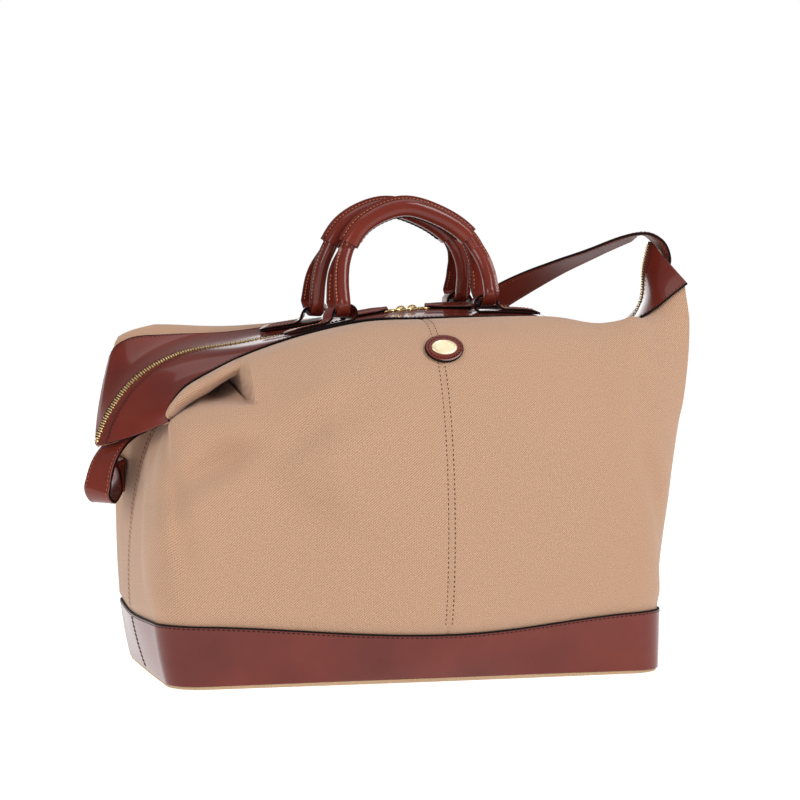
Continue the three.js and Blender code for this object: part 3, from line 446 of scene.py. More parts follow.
class BagForm:
    """The surfaces that the pieces follow, in millimetres."""

    def __init__(self) -> None:
        """Runs the three lines of the leather top."""
        rows = [dict(zip(TOP_COLUMNS, row)) for row in TOP_ROWS]
        self._lines = (
            Spline([(row["zip_x"], 0, row["zip_z"]) for row in rows]),
            Spline([(row["front_x"], row["front_y"], row["front_z"]) for row in rows]),
            Spline([(row["back_x"], row["back_y"], row["back_z"]) for row in rows]),
        )
        self.arch = Spline([(x, 0, z) for x, z in ARCH_ROWS])

    @staticmethod
    def outward(side: Side, share: float) -> Array:
        """Level direction out of the bag at a share of a panel."""
        turn = smooth(share, FACING_FROM, FACING_TO) * math.pi / 2
        return np.array([side.x * math.sin(turn), side.y * math.cos(turn), 0.0])

    @staticmethod
    def band_points(side: Side, share: float, rises: Array) -> Array:
        """Points up the base band, from its foot at rise 0 to its top edge at rise 1.

        Args:
            side: The quarter.
            share: Share of its width.
            rises: Shares of its height.

        Returns:
            One point for each rise.
        """
        foot, top = BAND_FOOT.point(side, share), BAND_TOP.point(side, share)
        height = top[2] - foot[2]
        out = (top - foot) * np.array([1.0, 1.0, 0.0])
        lean = min(float(np.linalg.norm(out)), height) * BAND_LEAN
        bend = top - UP * BAND_BEND * height - unit(out) * lean
        t = rises[:, None]
        return (1 - t) ** 2 * foot + 2 * (1 - t) * t * bend + t * t * top

    @lru_cache(maxsize=None)
    def top_lines(self, place: float) -> tuple[Array, Array, Array]:
        """Points of the zip line and the two edges, at a place from -1 at the left to 1 at the right.

        Args:
            place: The place.

        Returns:
            The three points.
        """
        found = []
        for line in self._lines:
            middle = line.length_share(TOP_MIDDLE_ROW)
            share = middle * (1 + place) if place < 0 else middle + (1 - middle) * place
            found.append(line.at_length(min(max(share, 0.0), 1.0)))
        return found[0], found[1], found[2]

    def top_points(self, place: float, across: Array) -> Array:
        """Points of the leather top's upper face: -1 is its front edge, 0 the zip and 1 its back edge.

        Args:
            place: Place along the top.
            across: Places across it.

        Returns:
            One point for each place across.
        """
        zip_point, front, back = self.top_lines(place)
        a = np.asarray(across, float)[:, None]
        straight = zip_point + (np.where(a < 0, front, back) - zip_point) * np.abs(a)
        bowed = zip_point + (back - front) * (a / 2) + ((front + back) / 2 - zip_point) * a * a
        flat = smooth(place, *RIGHT_FLAT) if place > 0 else WING_CREASE * smooth(-place, WING_CREASE_FROM, 1.0)
        return mix(bowed, straight, flat)

    def top_point(self, place: float, across: float) -> Array:
        """One point of the leather top's upper face."""
        return self.top_points(place, np.array([across]))[0]

    def top_frame(self, place: float, across: float) -> Frame:
        """Place and directions on the leather top.

        Args:
            place: Place along the top.
            across: Place across it.

        Returns:
            The frame.
        """
        step, side_step = 0.01, 0.05
        sideways = unit(self.top_point(place, across + side_step) - self.top_point(place, across - side_step))
        ahead, behind = min(place + step, 1.0), max(place - step, -1.0)
        forward = unit(self.top_point(ahead, across) - self.top_point(behind, across))
        return Frame(self.top_point(place, across), forward, sideways, unit(np.cross(forward, sideways)))

    @lru_cache(maxsize=None)
    def top_above(self, x: float, y: float) -> Frame:
        """Place on the leather top above a point of the floor."""
        place = halved(-1.0, 1.0, lambda p: self.top_point(p, self._across(p, y))[0] < x, 40)
        return self.top_frame(place, self._across(place, y))

    def _across(self, place: float, y: float) -> float:
        """Place across the leather top at a distance from the zip."""
        return y / abs(self.top_lines(place)[1 if y < 0 else 2][1])

    @staticmethod
    def hem_place(side: Side, share: float) -> Span:
        """Places along and across the leather top where a panel ends."""
        past_corner = max(share - CORNER, 0.0) / (1 - CORNER)
        return side.x * min(share / CORNER, 1.0), side.y * (1 - past_corner)

    @lru_cache(maxsize=None)
    def profile(self, side: Side, share: float, soft: bool = False) -> tuple[Array, Array]:
        """Control points of a panel's profile.

        Args:
            side: The panel.
            share: Share of its width.
            soft: Whether the tuck fades out slowly, as it does low on the panel.

        Returns:
            A lower and an upper curve.
        """
        near_top, band_top = self.band_points(side, share, np.array([0.9, 1.0]))
        foot = band_top + UP * PANEL_GAP
        out = self.outward(side, share)
        on_wing = smooth(share, WING_FROM, WING_TO)
        top = self.top_point(*self.hem_place(side, share))
        top = top + out * WING_HEM_OUT * on_wing - UP * WING_HEM_DOWN * on_wing
        rows = np.asarray(SHOULDERS[side.label], float)
        swell, reach, rise = (np.interp(share, rows[:, 0], rows[:, k]) for k in (1, 2, 3))
        swollen = foot + unit(band_top - near_top) * swell
        crest = top + out * reach + UP * rise
        lower, upper = self._split(np.array([foot, swollen, crest, top]), TUCK_SPLIT)
        if side.label in TUCK_FADE:
            valley_fade, shoulder_fade = TUCK_FADE[side.label]
            valley_fade = LOW_FADE[side.label] if soft else valley_fade
            in_valley, in_shoulder = smooth(share, *valley_fade), smooth(share, *shoulder_fade)
            tuck = np.asarray(TUCK_ROWS, float)
            row = [np.interp(share, tuck[:, 0], tuck[:, k]) for k in range(1, tuck.shape[1])]
            valley = top - out * row[0] + UP * row[1]
            lip = top + out * row[2] + UP * row[3]
            throat = valley + out * row[4] + UP * row[5]
            under = valley + out * row[6] + UP * row[7]
            lower[1] = mix(lower[1], swollen, in_shoulder)
            lower[2] = mix(lower[2], under, in_shoulder)
            lower[3] = mix(lower[3], valley, in_valley)
            for k, point in enumerate((valley, throat, lip)):
                upper[k] = mix(upper[k], point, in_valley)
        return lower, upper

    @staticmethod
    def _split(control: Array, t: float) -> tuple[Array, Array]:
        """Splits a cubic curve's control points in two.

        Args:
            control: Four control points.
            t: Share at which it is split.

        Returns:
            Control points of both parts.
        """
        a, b, c, d = control
        ab, bc, cd = mix(a, b, t), mix(b, c, t), mix(c, d, t)
        abc, bcd = mix(ab, bc, t), mix(bc, cd, t)
        middle = mix(abc, bcd, t)
        return np.array([a, ab, abc, middle]), np.array([middle, bcd, cd, d])

    def canvas_points(self, side: Side, share: float, rises: Array) -> Array:
        """Outer face of a panel, from the band at rise 0 to the leather top at rise 1.

        Args:
            side: The panel.
            share: Share of its width.
            rises: Shares of its height.

        Returns:
            One point for each rise.
        """
        lower, upper = self.profile(side, share)
        low = bezier(lower, np.clip(rises / TUCK_SPLIT, 0.0, 1.0))
        if side is Side.FRONT_LEFT:
            gentle = bezier(self.profile(side, share, True)[0], np.clip(rises / TUCK_SPLIT, 0.0, 1.0))
            low = mix(gentle, low, smooth(rises, *LOW_BLEND)[:, None])
        high = bezier(upper, np.clip((rises - TUCK_SPLIT) / (1 - TUCK_SPLIT), 0.0, 1.0))
        return np.where((rises <= TUCK_SPLIT)[:, None], low, high)

    def canvas_point(self, side: Side, share: float, rise: float) -> Array:
        """One point of a panel's outer face."""
        return self.canvas_points(side, share, np.array([rise]))[0]

    def canvas_frame(self, side: Side, share: float, rise: float) -> Frame:
        """Place on a panel: forward runs up it, across runs along it and the normal points out.

        Args:
            side: The panel.
            share: Share of its width.
            rise: Share of its height.

        Returns:
            The frame.
        """
        step = 0.01
        across = unit(self.canvas_point(side, share + step, rise) - self.canvas_point(side, share - step, rise))
        up = unit(self.canvas_point(side, share, rise + step) - self.canvas_point(side, share, rise - step))
        normal = unit(np.cross(across, up))
        normal = normal if normal @ self.outward(side, share) > 0 else -normal
        return Frame(self.canvas_point(side, share, rise), up, across, normal)

    def rise_at(self, side: Side, share: float, z: float) -> float:
        """Rise at which a panel is at a height."""
        return halved(0.0, 1.0, lambda rise: self.canvas_point(side, share, rise)[2] < z, 30)

    def arch_at(self, t: float, shift_x: float) -> tuple[Array, Array]:
        """Point on the handles' arch, and the direction to the inside of the arch."""
        tangent = self.arch.tangent(t)
        return self.arch.at(t) + np.array([shift_x, 0.0, 0.0]), np.array([tangent[2], 0.0, -tangent[0]])


class Surface:
    """A grid of points in millimetres that a sheet of material follows."""

    def __init__(self, points: Array, outside: Array) -> None:
        """Measures the grid and turns its normals outward.

        Args:
            points: Rows by columns by three.
            outside: Direction that the middle of the sheet faces.
        """
        self.points = points
        normals = unit(np.cross(np.gradient(points, axis=1), np.gradient(points, axis=0)))
        rows, columns = points.shape[:2]
        facing = float(normals[rows // 2, columns // 2] @ outside)
        self.normals = normals if facing > 0 else -normals
        self.along, self.up = lengths_along(points, 1), lengths_along(points, 0)

    @property
    def area(self) -> float:
        """Area in square metres."""
        p = self.points
        first = np.cross(p[1:, :-1] - p[:-1, :-1], p[:-1, 1:] - p[:-1, :-1])
        second = np.cross(p[1:, :-1] - p[1:, 1:], p[:-1, 1:] - p[1:, 1:])
        return float(np.linalg.norm(first, axis=2).sum() + np.linalg.norm(second, axis=2).sum()) / 2 * MM * MM

    @property
    def flat(self) -> Span:
        """Greatest width and height in metres."""
        return float(self.along[:, -1].max()) * MM, float(self.up[-1].max()) * MM

    @property
    def lengthwise(self) -> Array:
        """Places on the sheet in metres, by lengths along its rows and columns."""
        return np.stack([self.along, self.up], axis=2) * MM

    def woven(self, lay: int) -> Array:
        """Places on the flat cloth in metres, warp up the columns and weft along them by lay, 1 or -1."""
        plain_row = self.along[self.along.shape[0] // 3]
        return np.stack([np.broadcast_to(plain_row * lay, self.up.shape), self.up], axis=2) * MM

    def raised(self, heights: Array) -> "Surface":
        """The surface moved along its normals by a height for each point."""
        middle = (self.points.shape[0] // 2, self.points.shape[1] // 2)
        return Surface(self.points + self.normals * heights[:, :, None], self.normals[middle])

    def row(self, base: int, distance: float) -> tuple[Array, Array]:
        """Points and normals of a line at a distance up from one of the rows, or down when it is negative."""
        return self._line(0, base, distance)

    def column(self, base: int, distance: float) -> tuple[Array, Array]:
        """Points and normals of a line at a distance along from one of the columns, as row() gives them."""
        return self._line(1, base, distance)

    def _line(self, axis: int, base: int, distance: float) -> tuple[Array, Array]:
        """Line over the surface at a measured distance.

        Args:
            axis: 0 to measure up from a row, 1 to measure along from a column.
            base: The row or column.
            distance: How far from it.

        Returns:
            Points and normals.
        """
        grids = ((self.up, self.along)[axis], self.points, self.normals)
        lengths, points, normals = (grid.swapaxes(0, axis) for grid in grids)
        found, facing = [], []
        stations = np.arange(lengths.shape[0])
        for k in range(lengths.shape[1]):
            run = lengths[:, k]
            at = np.interp(run[base] + distance, run, stations)
            i = min(int(at), len(run) - 2)
            found.append(mix(points[i, k], points[i + 1, k], at - i))
            facing.append(mix(normals[i, k], normals[i + 1, k], at - i))
        return np.array(found), unit(np.array(facing))


@dataclass(frozen=True)
class Nodes:
    """Adds nodes to a tree with their inputs set or linked."""

    tree: Tree

    def add(self, kind: str, inputs: dict[str | int, object] | None = None, **settings: object) -> Node:
        """Adds a node.

        Args:
            kind: The node's type.
            inputs: Values or sockets for its inputs, by name or number.
            **settings: Properties of the node.

        Returns:
            The node.
        """
        node = self.tree.nodes.new(kind)
        for name, value in settings.items():
            setattr(node, name, value)
        self.feed(node, inputs or {})
        return node

    def feed(self, node: Node, inputs: dict[str | int, object]) -> None:
        """Sets or links inputs of a node.

        Args:
            node: The node.
            inputs: Values or sockets for its inputs, by name or number.
        """
        for name, value in inputs.items():
            if isinstance(value, Socket):
                self.tree.links.new(value, node.inputs[name])
            else:
                node.inputs[name].default_value = value

    def maths(self, operation: str, *values: object) -> Socket:
        """Output of a maths node on values or sockets."""
        return self.add("ShaderNodeMath", dict(enumerate(values)), operation=operation).outputs[0]


class Weave:
    """Node groups that several finishes share."""

    @staticmethod
    def group(
        name: str, inputs: Sequence[tuple[str, str, float]], outputs: Sequence[str]
    ) -> tuple[Tree, Nodes, Node, Node]:
        """Starts a node group.

        Args:
            name: The group's name.
            inputs: Name, socket type and default of each input.
            outputs: Names of the float outputs.

        Returns:
            The tree, its node adder, and the nodes at its two ends.
        """
        tree = bpy.data.node_groups.new(name, "ShaderNodeTree")
        for label, kind, default in inputs:
            socket = tree.interface.new_socket(name=label, in_out="INPUT", socket_type=kind)
            if kind == "NodeSocketFloat":
                socket.default_value = default
        for label in outputs:
            tree.interface.new_socket(name=label, in_out="OUTPUT", socket_type="NodeSocketFloat")
        nodes = Nodes(tree)
        return tree, nodes, nodes.add("NodeGroupInput"), nodes.add("NodeGroupOutput")

    @classmethod
    @lru_cache(maxsize=None)
    def twill(cls) -> Tree:
        """Diagonal ribs of yarn on UV in metres, with uneven threads: height and shade.

        Returns:
            The group.
        """
        tree, nodes, start, end = cls.group(
            "Twill", [("Vector", "NodeSocketVector", 0), ("Pitch", "NodeSocketFloat", 0.0015)], ["Height", "Shade"]
        )
        split = nodes.add("ShaderNodeSeparateXYZ", {0: start.outputs["Vector"]})
        wander = nodes.add("ShaderNodeTexNoise", {"Vector": start.outputs["Vector"], "Scale": 90.0, "Detail": 2.0})
        turn = nodes.maths("DIVIDE", 2 * math.pi, start.outputs["Pitch"])
        diagonal = nodes.maths("SUBTRACT", nodes.maths("MULTIPLY", split.outputs["Y"], 1.15), split.outputs["X"])
        rib_phase = nodes.maths("MULTIPLY_ADD", diagonal, turn, nodes.maths("MULTIPLY", wander.outputs[0], 3.0))
        rib = nodes.maths("SINE", rib_phase)
        yarn = nodes.maths("SINE", nodes.maths("MULTIPLY", split.outputs["X"], nodes.maths("MULTIPLY", turn, 1.7)))
        height = nodes.maths("MULTIPLY_ADD", yarn, 0.35, rib)
        fleck = nodes.add("ShaderNodeTexNoise", {"Vector": start.outputs["Vector"], "Scale": 1100.0, "Detail": 2.0})
        shade = nodes.maths("MULTIPLY_ADD", height, 0.17, fleck.outputs[0])
        nodes.feed(end, {"Height": height, "Shade": shade})
        return tree

    @classmethod
    @lru_cache(maxsize=None)
    def grain(cls) -> Tree:
        """Fine pebbled grain and pulled-up tone of leather, on coordinates in metres: height and tone.

        Returns:
            The group.
        """
        tree, nodes, start, end = cls.group("Grain", [("Vector", "NodeSocketVector", 0)], ["Height", "Tone"])
        cells = nodes.add("ShaderNodeTexVoronoi", {"Vector": start.outputs["Vector"], "Scale": 700.0})
        soft = nodes.add("ShaderNodeTexNoise", {"Vector": start.outputs["Vector"], "Scale": 110.0, "Detail": 3.0})
        broad = nodes.add("ShaderNodeTexNoise", {"Vector": start.outputs["Vector"], "Scale": 14.0, "Detail": 4.0})
        height = nodes.maths("MULTIPLY_ADD", cells.outputs["Distance"], 0.12, soft.outputs[0])
        nodes.feed(end, {"Height": height, "Tone": broad.outputs[0]})
        return tree


class Finish:
    """A material that is made once and kept."""

    def material(self) -> bpy.types.Material:
        """The finish as a material, made on its first use.

        Returns:
            The material.
        """
        name = str(getattr(self, "name"))
        found = bpy.data.materials.get(name)
        if found is None:
            found = bpy.data.materials.new(name)
            found.use_nodes = True
            tree = found.node_tree
            self.dress(Nodes(tree), tree.nodes["Principled BSDF"])
        return found

    def dress(self, nodes: Nodes, shader: Node) -> None:
        """Sets the shader and links what feeds it.

        Args:
            nodes: Nodes of the material.
            shader: Its shader.
        """
        raise NotImplementedError

    @staticmethod
    def ramp(nodes: Nodes, share: Socket, low: Sequence[float], high: Sequence[float],
             span: Span) -> Socket:
        """Colour between two linear colours.

        Args:
            nodes: The tree to add to.
            share: What picks the colour.
            low: Colour at the start of the span.
            high: Colour at its end.
            span: Shares between which the colour changes.

        Returns:
            The colour's socket.
        """
        node = nodes.add("ShaderNodeValToRGB", {0: share})
        for element, colour, place in zip(node.color_ramp.elements, (low, high), span):
            element.position = place
            element.color = (*colour, 1.0)
        return node.outputs[0]


@dataclass(frozen=True)
class CanvasFinish(Finish):
    """Tan cotton twill."""

    name: str = "tan_twill"
    low: Triple = (0.31, 0.172, 0.103)
    high: Triple = (0.628, 0.392, 0.26)
    pitch: float = 0.0027
    roughness: float = 0.88
    sheen: float = 0.25
    specular: float = 0.2

    def dress(self, nodes: Nodes, shader: Node) -> None:
        """Twill ribs in colour and height, with a little sheen."""
        uv = nodes.add("ShaderNodeUVMap", uv_map=UV_NAME)
        twill = nodes.add("ShaderNodeGroup", node_tree=Weave.twill())
        nodes.feed(twill, {"Vector": uv.outputs[0], "Pitch": self.pitch})
        colour = self.ramp(nodes, twill.outputs["Shade"], self.low, self.high, (0.2, 0.8))
        bump = nodes.add("ShaderNodeBump", {"Height": twill.outputs["Height"], "Distance": 0.0002, "Strength": 0.35})
        nodes.feed(shader, {
            "Base Color": colour, "Normal": bump.outputs[0], "Roughness": self.roughness, "Sheen Weight": self.sheen,
            "Specular IOR Level": self.specular,
        })


@dataclass(frozen=True)
class LeatherFinish(Finish):
    """Glossy red-brown calf."""

    name: str = "red_brown_calf"
    low: Triple = (0.112, 0.0145, 0.009)
    high: Triple = (0.18, 0.027, 0.0155)
    roughness: float = 0.24
    specular: float = 0.15
    coat: float = 0.4
    coat_roughness: float = 0.07

    def dress(self, nodes: Nodes, shader: Node) -> None:
        """Grain in height, uneven dye in colour, and a polished coat."""
        place = nodes.add("ShaderNodeTexCoord")
        grain = nodes.add("ShaderNodeGroup", node_tree=Weave.grain())
        nodes.feed(grain, {"Vector": place.outputs["Object"]})
        colour = self.ramp(nodes, grain.outputs["Tone"], self.low, self.high, (0.25, 0.75))
        bump = nodes.add("ShaderNodeBump", {"Height": grain.outputs["Height"], "Distance": 0.0004, "Strength": 0.3})
        rough = nodes.maths("MULTIPLY_ADD", grain.outputs["Tone"], 0.12, self.roughness - 0.06)
        nodes.feed(shader, {
            "Base Color": colour, "Normal": bump.outputs[0], "Roughness": rough, "Specular IOR Level": self.specular,
            "Coat Weight": self.coat, "Coat Roughness": self.coat_roughness,
        })


@dataclass(frozen=True)
class PlainFinish(Finish):
    """A finish of one colour with a fine uneven grain."""

    name: str
    low: Triple
    high: Triple
    roughness: float
    scale: float = 900.0
    bump: float = 0.00015
    metallic: float = 0.0
    specular: float = 0.5
    glow: float = 0.0

    def dress(self, nodes: Nodes, shader: Node) -> None:
        """Noise in colour and height."""
        place = nodes.add("ShaderNodeTexCoord")
        noise = nodes.add(
            "ShaderNodeTexNoise", {"Vector": place.outputs["Object"], "Scale": self.scale, "Detail": 3.0}
        )
        colour = self.ramp(nodes, noise.outputs[0], self.low, self.high, (0.3, 0.7))
        bump = nodes.add("ShaderNodeBump", {"Height": noise.outputs[0], "Distance": self.bump, "Strength": 0.4})
        nodes.feed(shader, {
            "Base Color": colour, "Normal": bump.outputs[0], "Roughness": self.roughness, "Metallic": self.metallic,
            "Specular IOR Level": self.specular, "Emission Color": WHITE, "Emission Strength": self.glow,
        })


CANVAS = CanvasFinish()
LEATHER = LeatherFinish()
LINING = LeatherFinish("strap_lining", (0.15, 0.021, 0.012), (0.23, 0.038, 0.021), 0.4, 0.12, 0.0)
EDGE = PlainFinish("edge_paint", (0.005, 0.003, 0.003), (0.01, 0.006, 0.006), 0.55, specular=0.08)
TAPE = PlainFinish("zip_tape_weave", (0.1, 0.019, 0.013), (0.15, 0.03, 0.02), 0.8, specular=0.15)
BRASS = PlainFinish("polished_brass", (0.78, 0.55, 0.24), (0.86, 0.63, 0.3), 0.26, 300.0, 0.00002, 1.0)
TEETH = PlainFinish("brass_teeth", (0.82, 0.58, 0.24), (0.96, 0.76, 0.4), 0.3, 300.0, 0.00002, 0.7)
PLATE = PlainFinish("pale_brass", (0.93, 0.79, 0.5), (0.97, 0.86, 0.6), 0.3, 300.0, 0.00002, 0.7)
DARK_THREAD = PlainFinish("dark_thread", (0.014, 0.004, 0.003), (0.03, 0.009, 0.007), 0.7, 2500.0, specular=0.1)
SEAM_THREAD = PlainFinish("seam_thread", (0.05, 0.02, 0.012), (0.1, 0.045, 0.028), 0.7, 2500.0, specular=0.1)
STRAP_THREAD = PlainFinish("strap_thread", (0.24, 0.085, 0.05), (0.38, 0.14, 0.085), 0.7, 2500.0)
LIGHT_THREAD = PlainFinish("light_thread", (0.42, 0.16, 0.075), (0.6, 0.26, 0.13), 0.65, 2500.0)
BOARD = PlainFinish("base_cloth", (0.4, 0.26, 0.15), (0.56, 0.38, 0.23), 0.9)
FLOOR = PlainFinish("studio_floor", (0.5, 0.5, 0.5), (0.52, 0.52, 0.52), 0.9, 3.0, 0.0, glow=0.85)


class Shop:
    """Makes meshes from grids and hangs the pieces on the frame."""

    @classmethod
    def laid(
        cls, name: str, points: Array, uv: Array, finishes: Sequence[Finish], pick: Picker | None = None,
        closed: bool = False,
    ) -> Piece:
        """Moves a grid onto points.

        Args:
            name: The object's name.
            points: Rows by columns by three, in millimetres.
            uv: Rows by columns by two, in metres.
            finishes: Finishes of the material slots.
            pick: Slot of the face that starts at a row and column.
            closed: Whether the grid wraps into a body, which is welded, capped and turned outward.

        Returns:
            The object.
        """
        rows, columns = points.shape[:2]
        mesh = bmesh.new()
        bmesh.ops.create_grid(mesh, x_segments=columns - 1, y_segments=rows - 1, size=1.0)
        places = {
            v: (round((v.co.y * 0.5 + 0.5) * (rows - 1)), round((v.co.x * 0.5 + 0.5) * (columns - 1)))
            for v in mesh.verts
        }
        layer = mesh.loops.layers.uv.new(UV_NAME)
        for face in mesh.faces:
            row = min(places[v][0] for v in face.verts)
            column = min(places[v][1] for v in face.verts)
            face.material_index = pick(row, column) if pick else 0
            face.smooth = True
            for loop in face.loops:
                loop[layer].uv = uv[places[loop.vert]]
        for vert, place in places.items():
            vert.co = points[place] * MM
        if closed:
            bmesh.ops.remove_doubles(mesh, verts=mesh.verts, dist=1e-6)
            rims = [edge for edge in mesh.edges if edge.is_boundary]
            bmesh.ops.holes_fill(mesh, edges=rims, sides=0)
            bmesh.ops.recalc_face_normals(mesh, faces=mesh.faces)
        return cls.made(name, mesh, finishes)

    @staticmethod
    def made(name: str, mesh: Mesh, finishes: Sequence[Finish]) -> Piece:
        """Turns a mesh into an object with its finishes.

        Args:
            name: The object's name.
            mesh: Its mesh.
            finishes: Finishes of its slots.

        Returns:
            The object.
        """
        data = bpy.data.meshes.new(name)
        mesh.to_mesh(data)
        mesh.free()
        for finish in finishes:
            data.materials.append(finish.material())
        data.set_sharp_from_angle(angle=SHARP_EDGE)
        return Shop.placed(name, data)

    @staticmethod
    def placed(name: str, data: bpy.types.ID) -> Piece:
        """Puts an object with a mesh, lamp or camera into the scene.

        Args:
            name: The object's name.
            data: What it shows.

        Returns:
            The object.
        """
        holder = bpy.data.objects.new(name, data)
        bpy.context.scene.collection.objects.link(holder)
        return holder

    @classmethod
    def sheet(
        cls, name: str, surface: Surface, wall: float, finishes: Sequence[Finish], rim: int = 1, bevel: float = 0.0,
        uv: Array | None = None, painted: Sequence[int] = (),
    ) -> Piece:
        """A sheet of material that has its outer face on a surface.

        Args:
            name: The object's name.
            surface: The outer face.
            wall: Thickness in millimetres.
            finishes: Finishes of the face and the cut edges.
            rim: Slot of the cut edges, counted from the face's.
            bevel: Rounding of the edges in millimetres.
            uv: Places on the flat sheet in metres, or None for lengths along its rows and columns.
            painted: Rows of faces that have the finish of the cut edges.

        Returns:
            The object.
        """
        uv = surface.lengthwise if uv is None else uv
        piece = cls.laid(name, surface.points, uv, finishes, lambda row, column: int(row in painted))
        middle = piece.data.polygons[len(piece.data.polygons) // 2]
        nearest = np.argmin(np.linalg.norm(surface.points * MM - np.array(middle.center), axis=2))
        if np.array(middle.normal) @ surface.normals.reshape(-1, 3)[nearest] < 0:
            piece.data.flip_normals()
        thick = piece.modifiers.new("wall", "SOLIDIFY")
        thick.thickness = wall * MM
        thick.offset = -1.0
        thick.use_quality_normals = True
        thick.material_offset_rim = rim
        if bevel:
            soft = piece.modifiers.new("edges", "BEVEL")
            soft.width = bevel * MM
            soft.segments = 2
            soft.limit_method = "ANGLE"
            soft.angle_limit = math.radians(55)
        return cls.baked(piece)

    @staticmethod
    def baked(piece: Piece) -> Piece:
        """Applies the modifiers of a piece and marks its sharp edges.

        Args:
            piece: The piece.

        Returns:
            The same piece.
        """
        graph = bpy.context.evaluated_depsgraph_get()
        final = bpy.data.meshes.new_from_object(piece.evaluated_get(graph), depsgraph=graph)
        rough = piece.data
        piece.modifiers.clear()
        piece.data = final
        bpy.data.meshes.remove(rough)
        final.name = piece.name
        final.set_sharp_from_angle(angle=SHARP_EDGE)
        return piece

    @classmethod
    def swept(
        cls, name: str, frames: Sequence[Frame], sections: Sequence[Array], finishes: Sequence[Finish],
        pick: Picker | None = None, loop: bool = False,
    ) -> Piece:
        """A body of closed sections along frames.

        Args:
            name: The object's name.
            frames: Places along it; sections lie across and along the normal.
            sections: For each frame, points as distances across and along the normal.
            finishes: Finishes of the material slots.
            pick: Slot of the face that starts at a station and a section point.
            loop: Whether the path closes on itself.

        Returns:
            The object.
        """
        rings = []
        for frame, section in zip(frames, sections):
            ring = frame.middle + np.outer(section[:, 0], frame.across) + np.outer(section[:, 1], frame.normal)
            rings.append(np.vstack([ring, ring[:1]]))
        if loop:
            rings.append(rings[0])
        points = np.array(rings)
        uv = np.stack([lengths_along(points, 1), lengths_along(points, 0)], axis=2) * MM
        return cls.laid(name, points, uv, finishes, pick, closed=True)

    @classmethod
    def turned(
        cls, name: str, outline: Array, profile: Sequence[Span],
        place: Callable[[float, float, float], Array], finishes: Sequence[Finish], pick: Picker | None = None,
    ) -> Piece:
        """A body whose outline is scaled and raised through a profile that starts and ends at its middle.

        Args:
            name: The object's name.
            outline: Closed outline as x and y, without its last point repeated.
            profile: Scale of the outline and height, row by row.
            place: Where a point of x, y and height goes.
            finishes: Finishes of the material slots.
            pick: Slot of the face that starts at a profile row and an outline point.

        Returns:
            The object.
        """
        ring = np.vstack([outline, outline[:1]])
        points = np.array([[place(x * scale, y * scale, height) for x, y in ring] for scale, height in profile])
        uv = np.array([[(x * scale, y * scale) for x, y in ring] for scale, height in profile]) * MM
        return cls.laid(name, points, uv, finishes, pick, closed=True)

    @staticmethod
    def hang(piece: Piece, slot: Slot, *nodes: str) -> Piece:
        """Rides a piece on the bag, hides the CAD nodes that it stands for, and reports it.

        Args:
            piece: The piece.
            slot: Its material slot, which is not used.
            *nodes: CAD nodes that it replaces.

        Returns:
            The same piece.
        """
        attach(piece, "root")
        if nodes:
            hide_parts(*nodes)
        LOG.info("%s: %d faces", piece.name, len(piece.data.polygons))
        return piece


def spaced(points: Array, normals: Array, pitch: float, start: float = 0.0) -> list[Frame]:
    """Frames at even steps along a line.

    Args:
        points: Points of the line in millimetres.
        normals: Normals at the points.
        pitch: Step between frames.
        start: Length left out at each end.

    Returns:
        The frames, forward along the line.
    """
    lengths = lengths_along(points)
    count = max(int((lengths[-1] - 2 * start) / pitch), 1)
    margin = (lengths[-1] - count * pitch) / 2
    frames = []
    for k in range(count):
        at = margin + (k + 0.5) * pitch
        ends = [np.array([np.interp(at + d, lengths, points[:, a]) for a in range(3)]) for d in (-0.6, 0.0, 0.6)]
        normal = unit(np.array([np.interp(at, lengths, normals[:, a]) for a in range(3)]))
        forward = unit(ends[2] - ends[0])
        across = unit(np.cross(normal, forward))
        frames.append(Frame(ends[1], forward, across, unit(np.cross(forward, across))))
    return frames


@dataclass
class Repeats:
    """Many copies of one small shape, joined into one piece."""

    name: str
    finish: Finish
    size: Triple
    frames: list[Frame] = field(default_factory=list)
    sharp: float = math.radians(50)

    def sew(self, points: Array, normals: Array, pitch: float = 4.4, start: float = 2.0,
            lift: float = 0.05) -> None:
        """Adds a row of stitches along a line on a surface."""
        self.frames += [frame.moved(lift) for frame in spaced(points, normals, pitch, start)]

    def follow(
        self, frames: Sequence[Frame], across: Sequence[float], out: Sequence[float], pitch: float
    ) -> None:
        """Adds a row of stitches at distances across frames and out from them, on the back if negative."""
        points = np.array([f.place(0.0, side, up) for f, side, up in zip(frames, across, out)])
        self.sew(points, np.array([f.normal * math.copysign(1.0, up) for f, up in zip(frames, out)]), pitch)

    def shape(self) -> Mesh:
        """One stitch: a grain of thread along X.

        Returns:
            The mesh.
        """
        mesh = bmesh.new()
        bmesh.ops.create_uvsphere(mesh, u_segments=6, v_segments=5, radius=0.5)
        bmesh.ops.rotate(mesh, verts=mesh.verts, matrix=Matrix.Rotation(math.pi / 2, 3, "Y"))
        return mesh

    def build(self, slot: Slot) -> Piece:
        """Joins the copies and hangs the piece.

        Args:
            slot: Material slot of the piece.

        Returns:
            The piece.
        """
        mesh = self.shape()
        mesh.verts.ensure_lookup_table()
        seed = np.array([v.co for v in mesh.verts]) * np.array(self.size)
        faces = [[v.index for v in face.verts] for face in mesh.faces]
        mesh.free()
        points, polygons = [], []
        for k, frame in enumerate(self.frames):
            basis = np.array([frame.forward, frame.across, frame.normal])
            points.append(frame.middle + seed @ basis)
            polygons += [[i + k * len(seed) for i in face] for face in faces]
        data = bpy.data.meshes.new(self.name)
        data.from_pydata((np.vstack(points) * MM).tolist(), [], polygons)
        data.polygons.foreach_set("use_smooth", [True] * len(polygons))
        data.materials.append(self.finish.material())
        data.set_sharp_from_angle(angle=self.sharp)
        return Shop.hang(Shop.placed(self.name, data), slot)


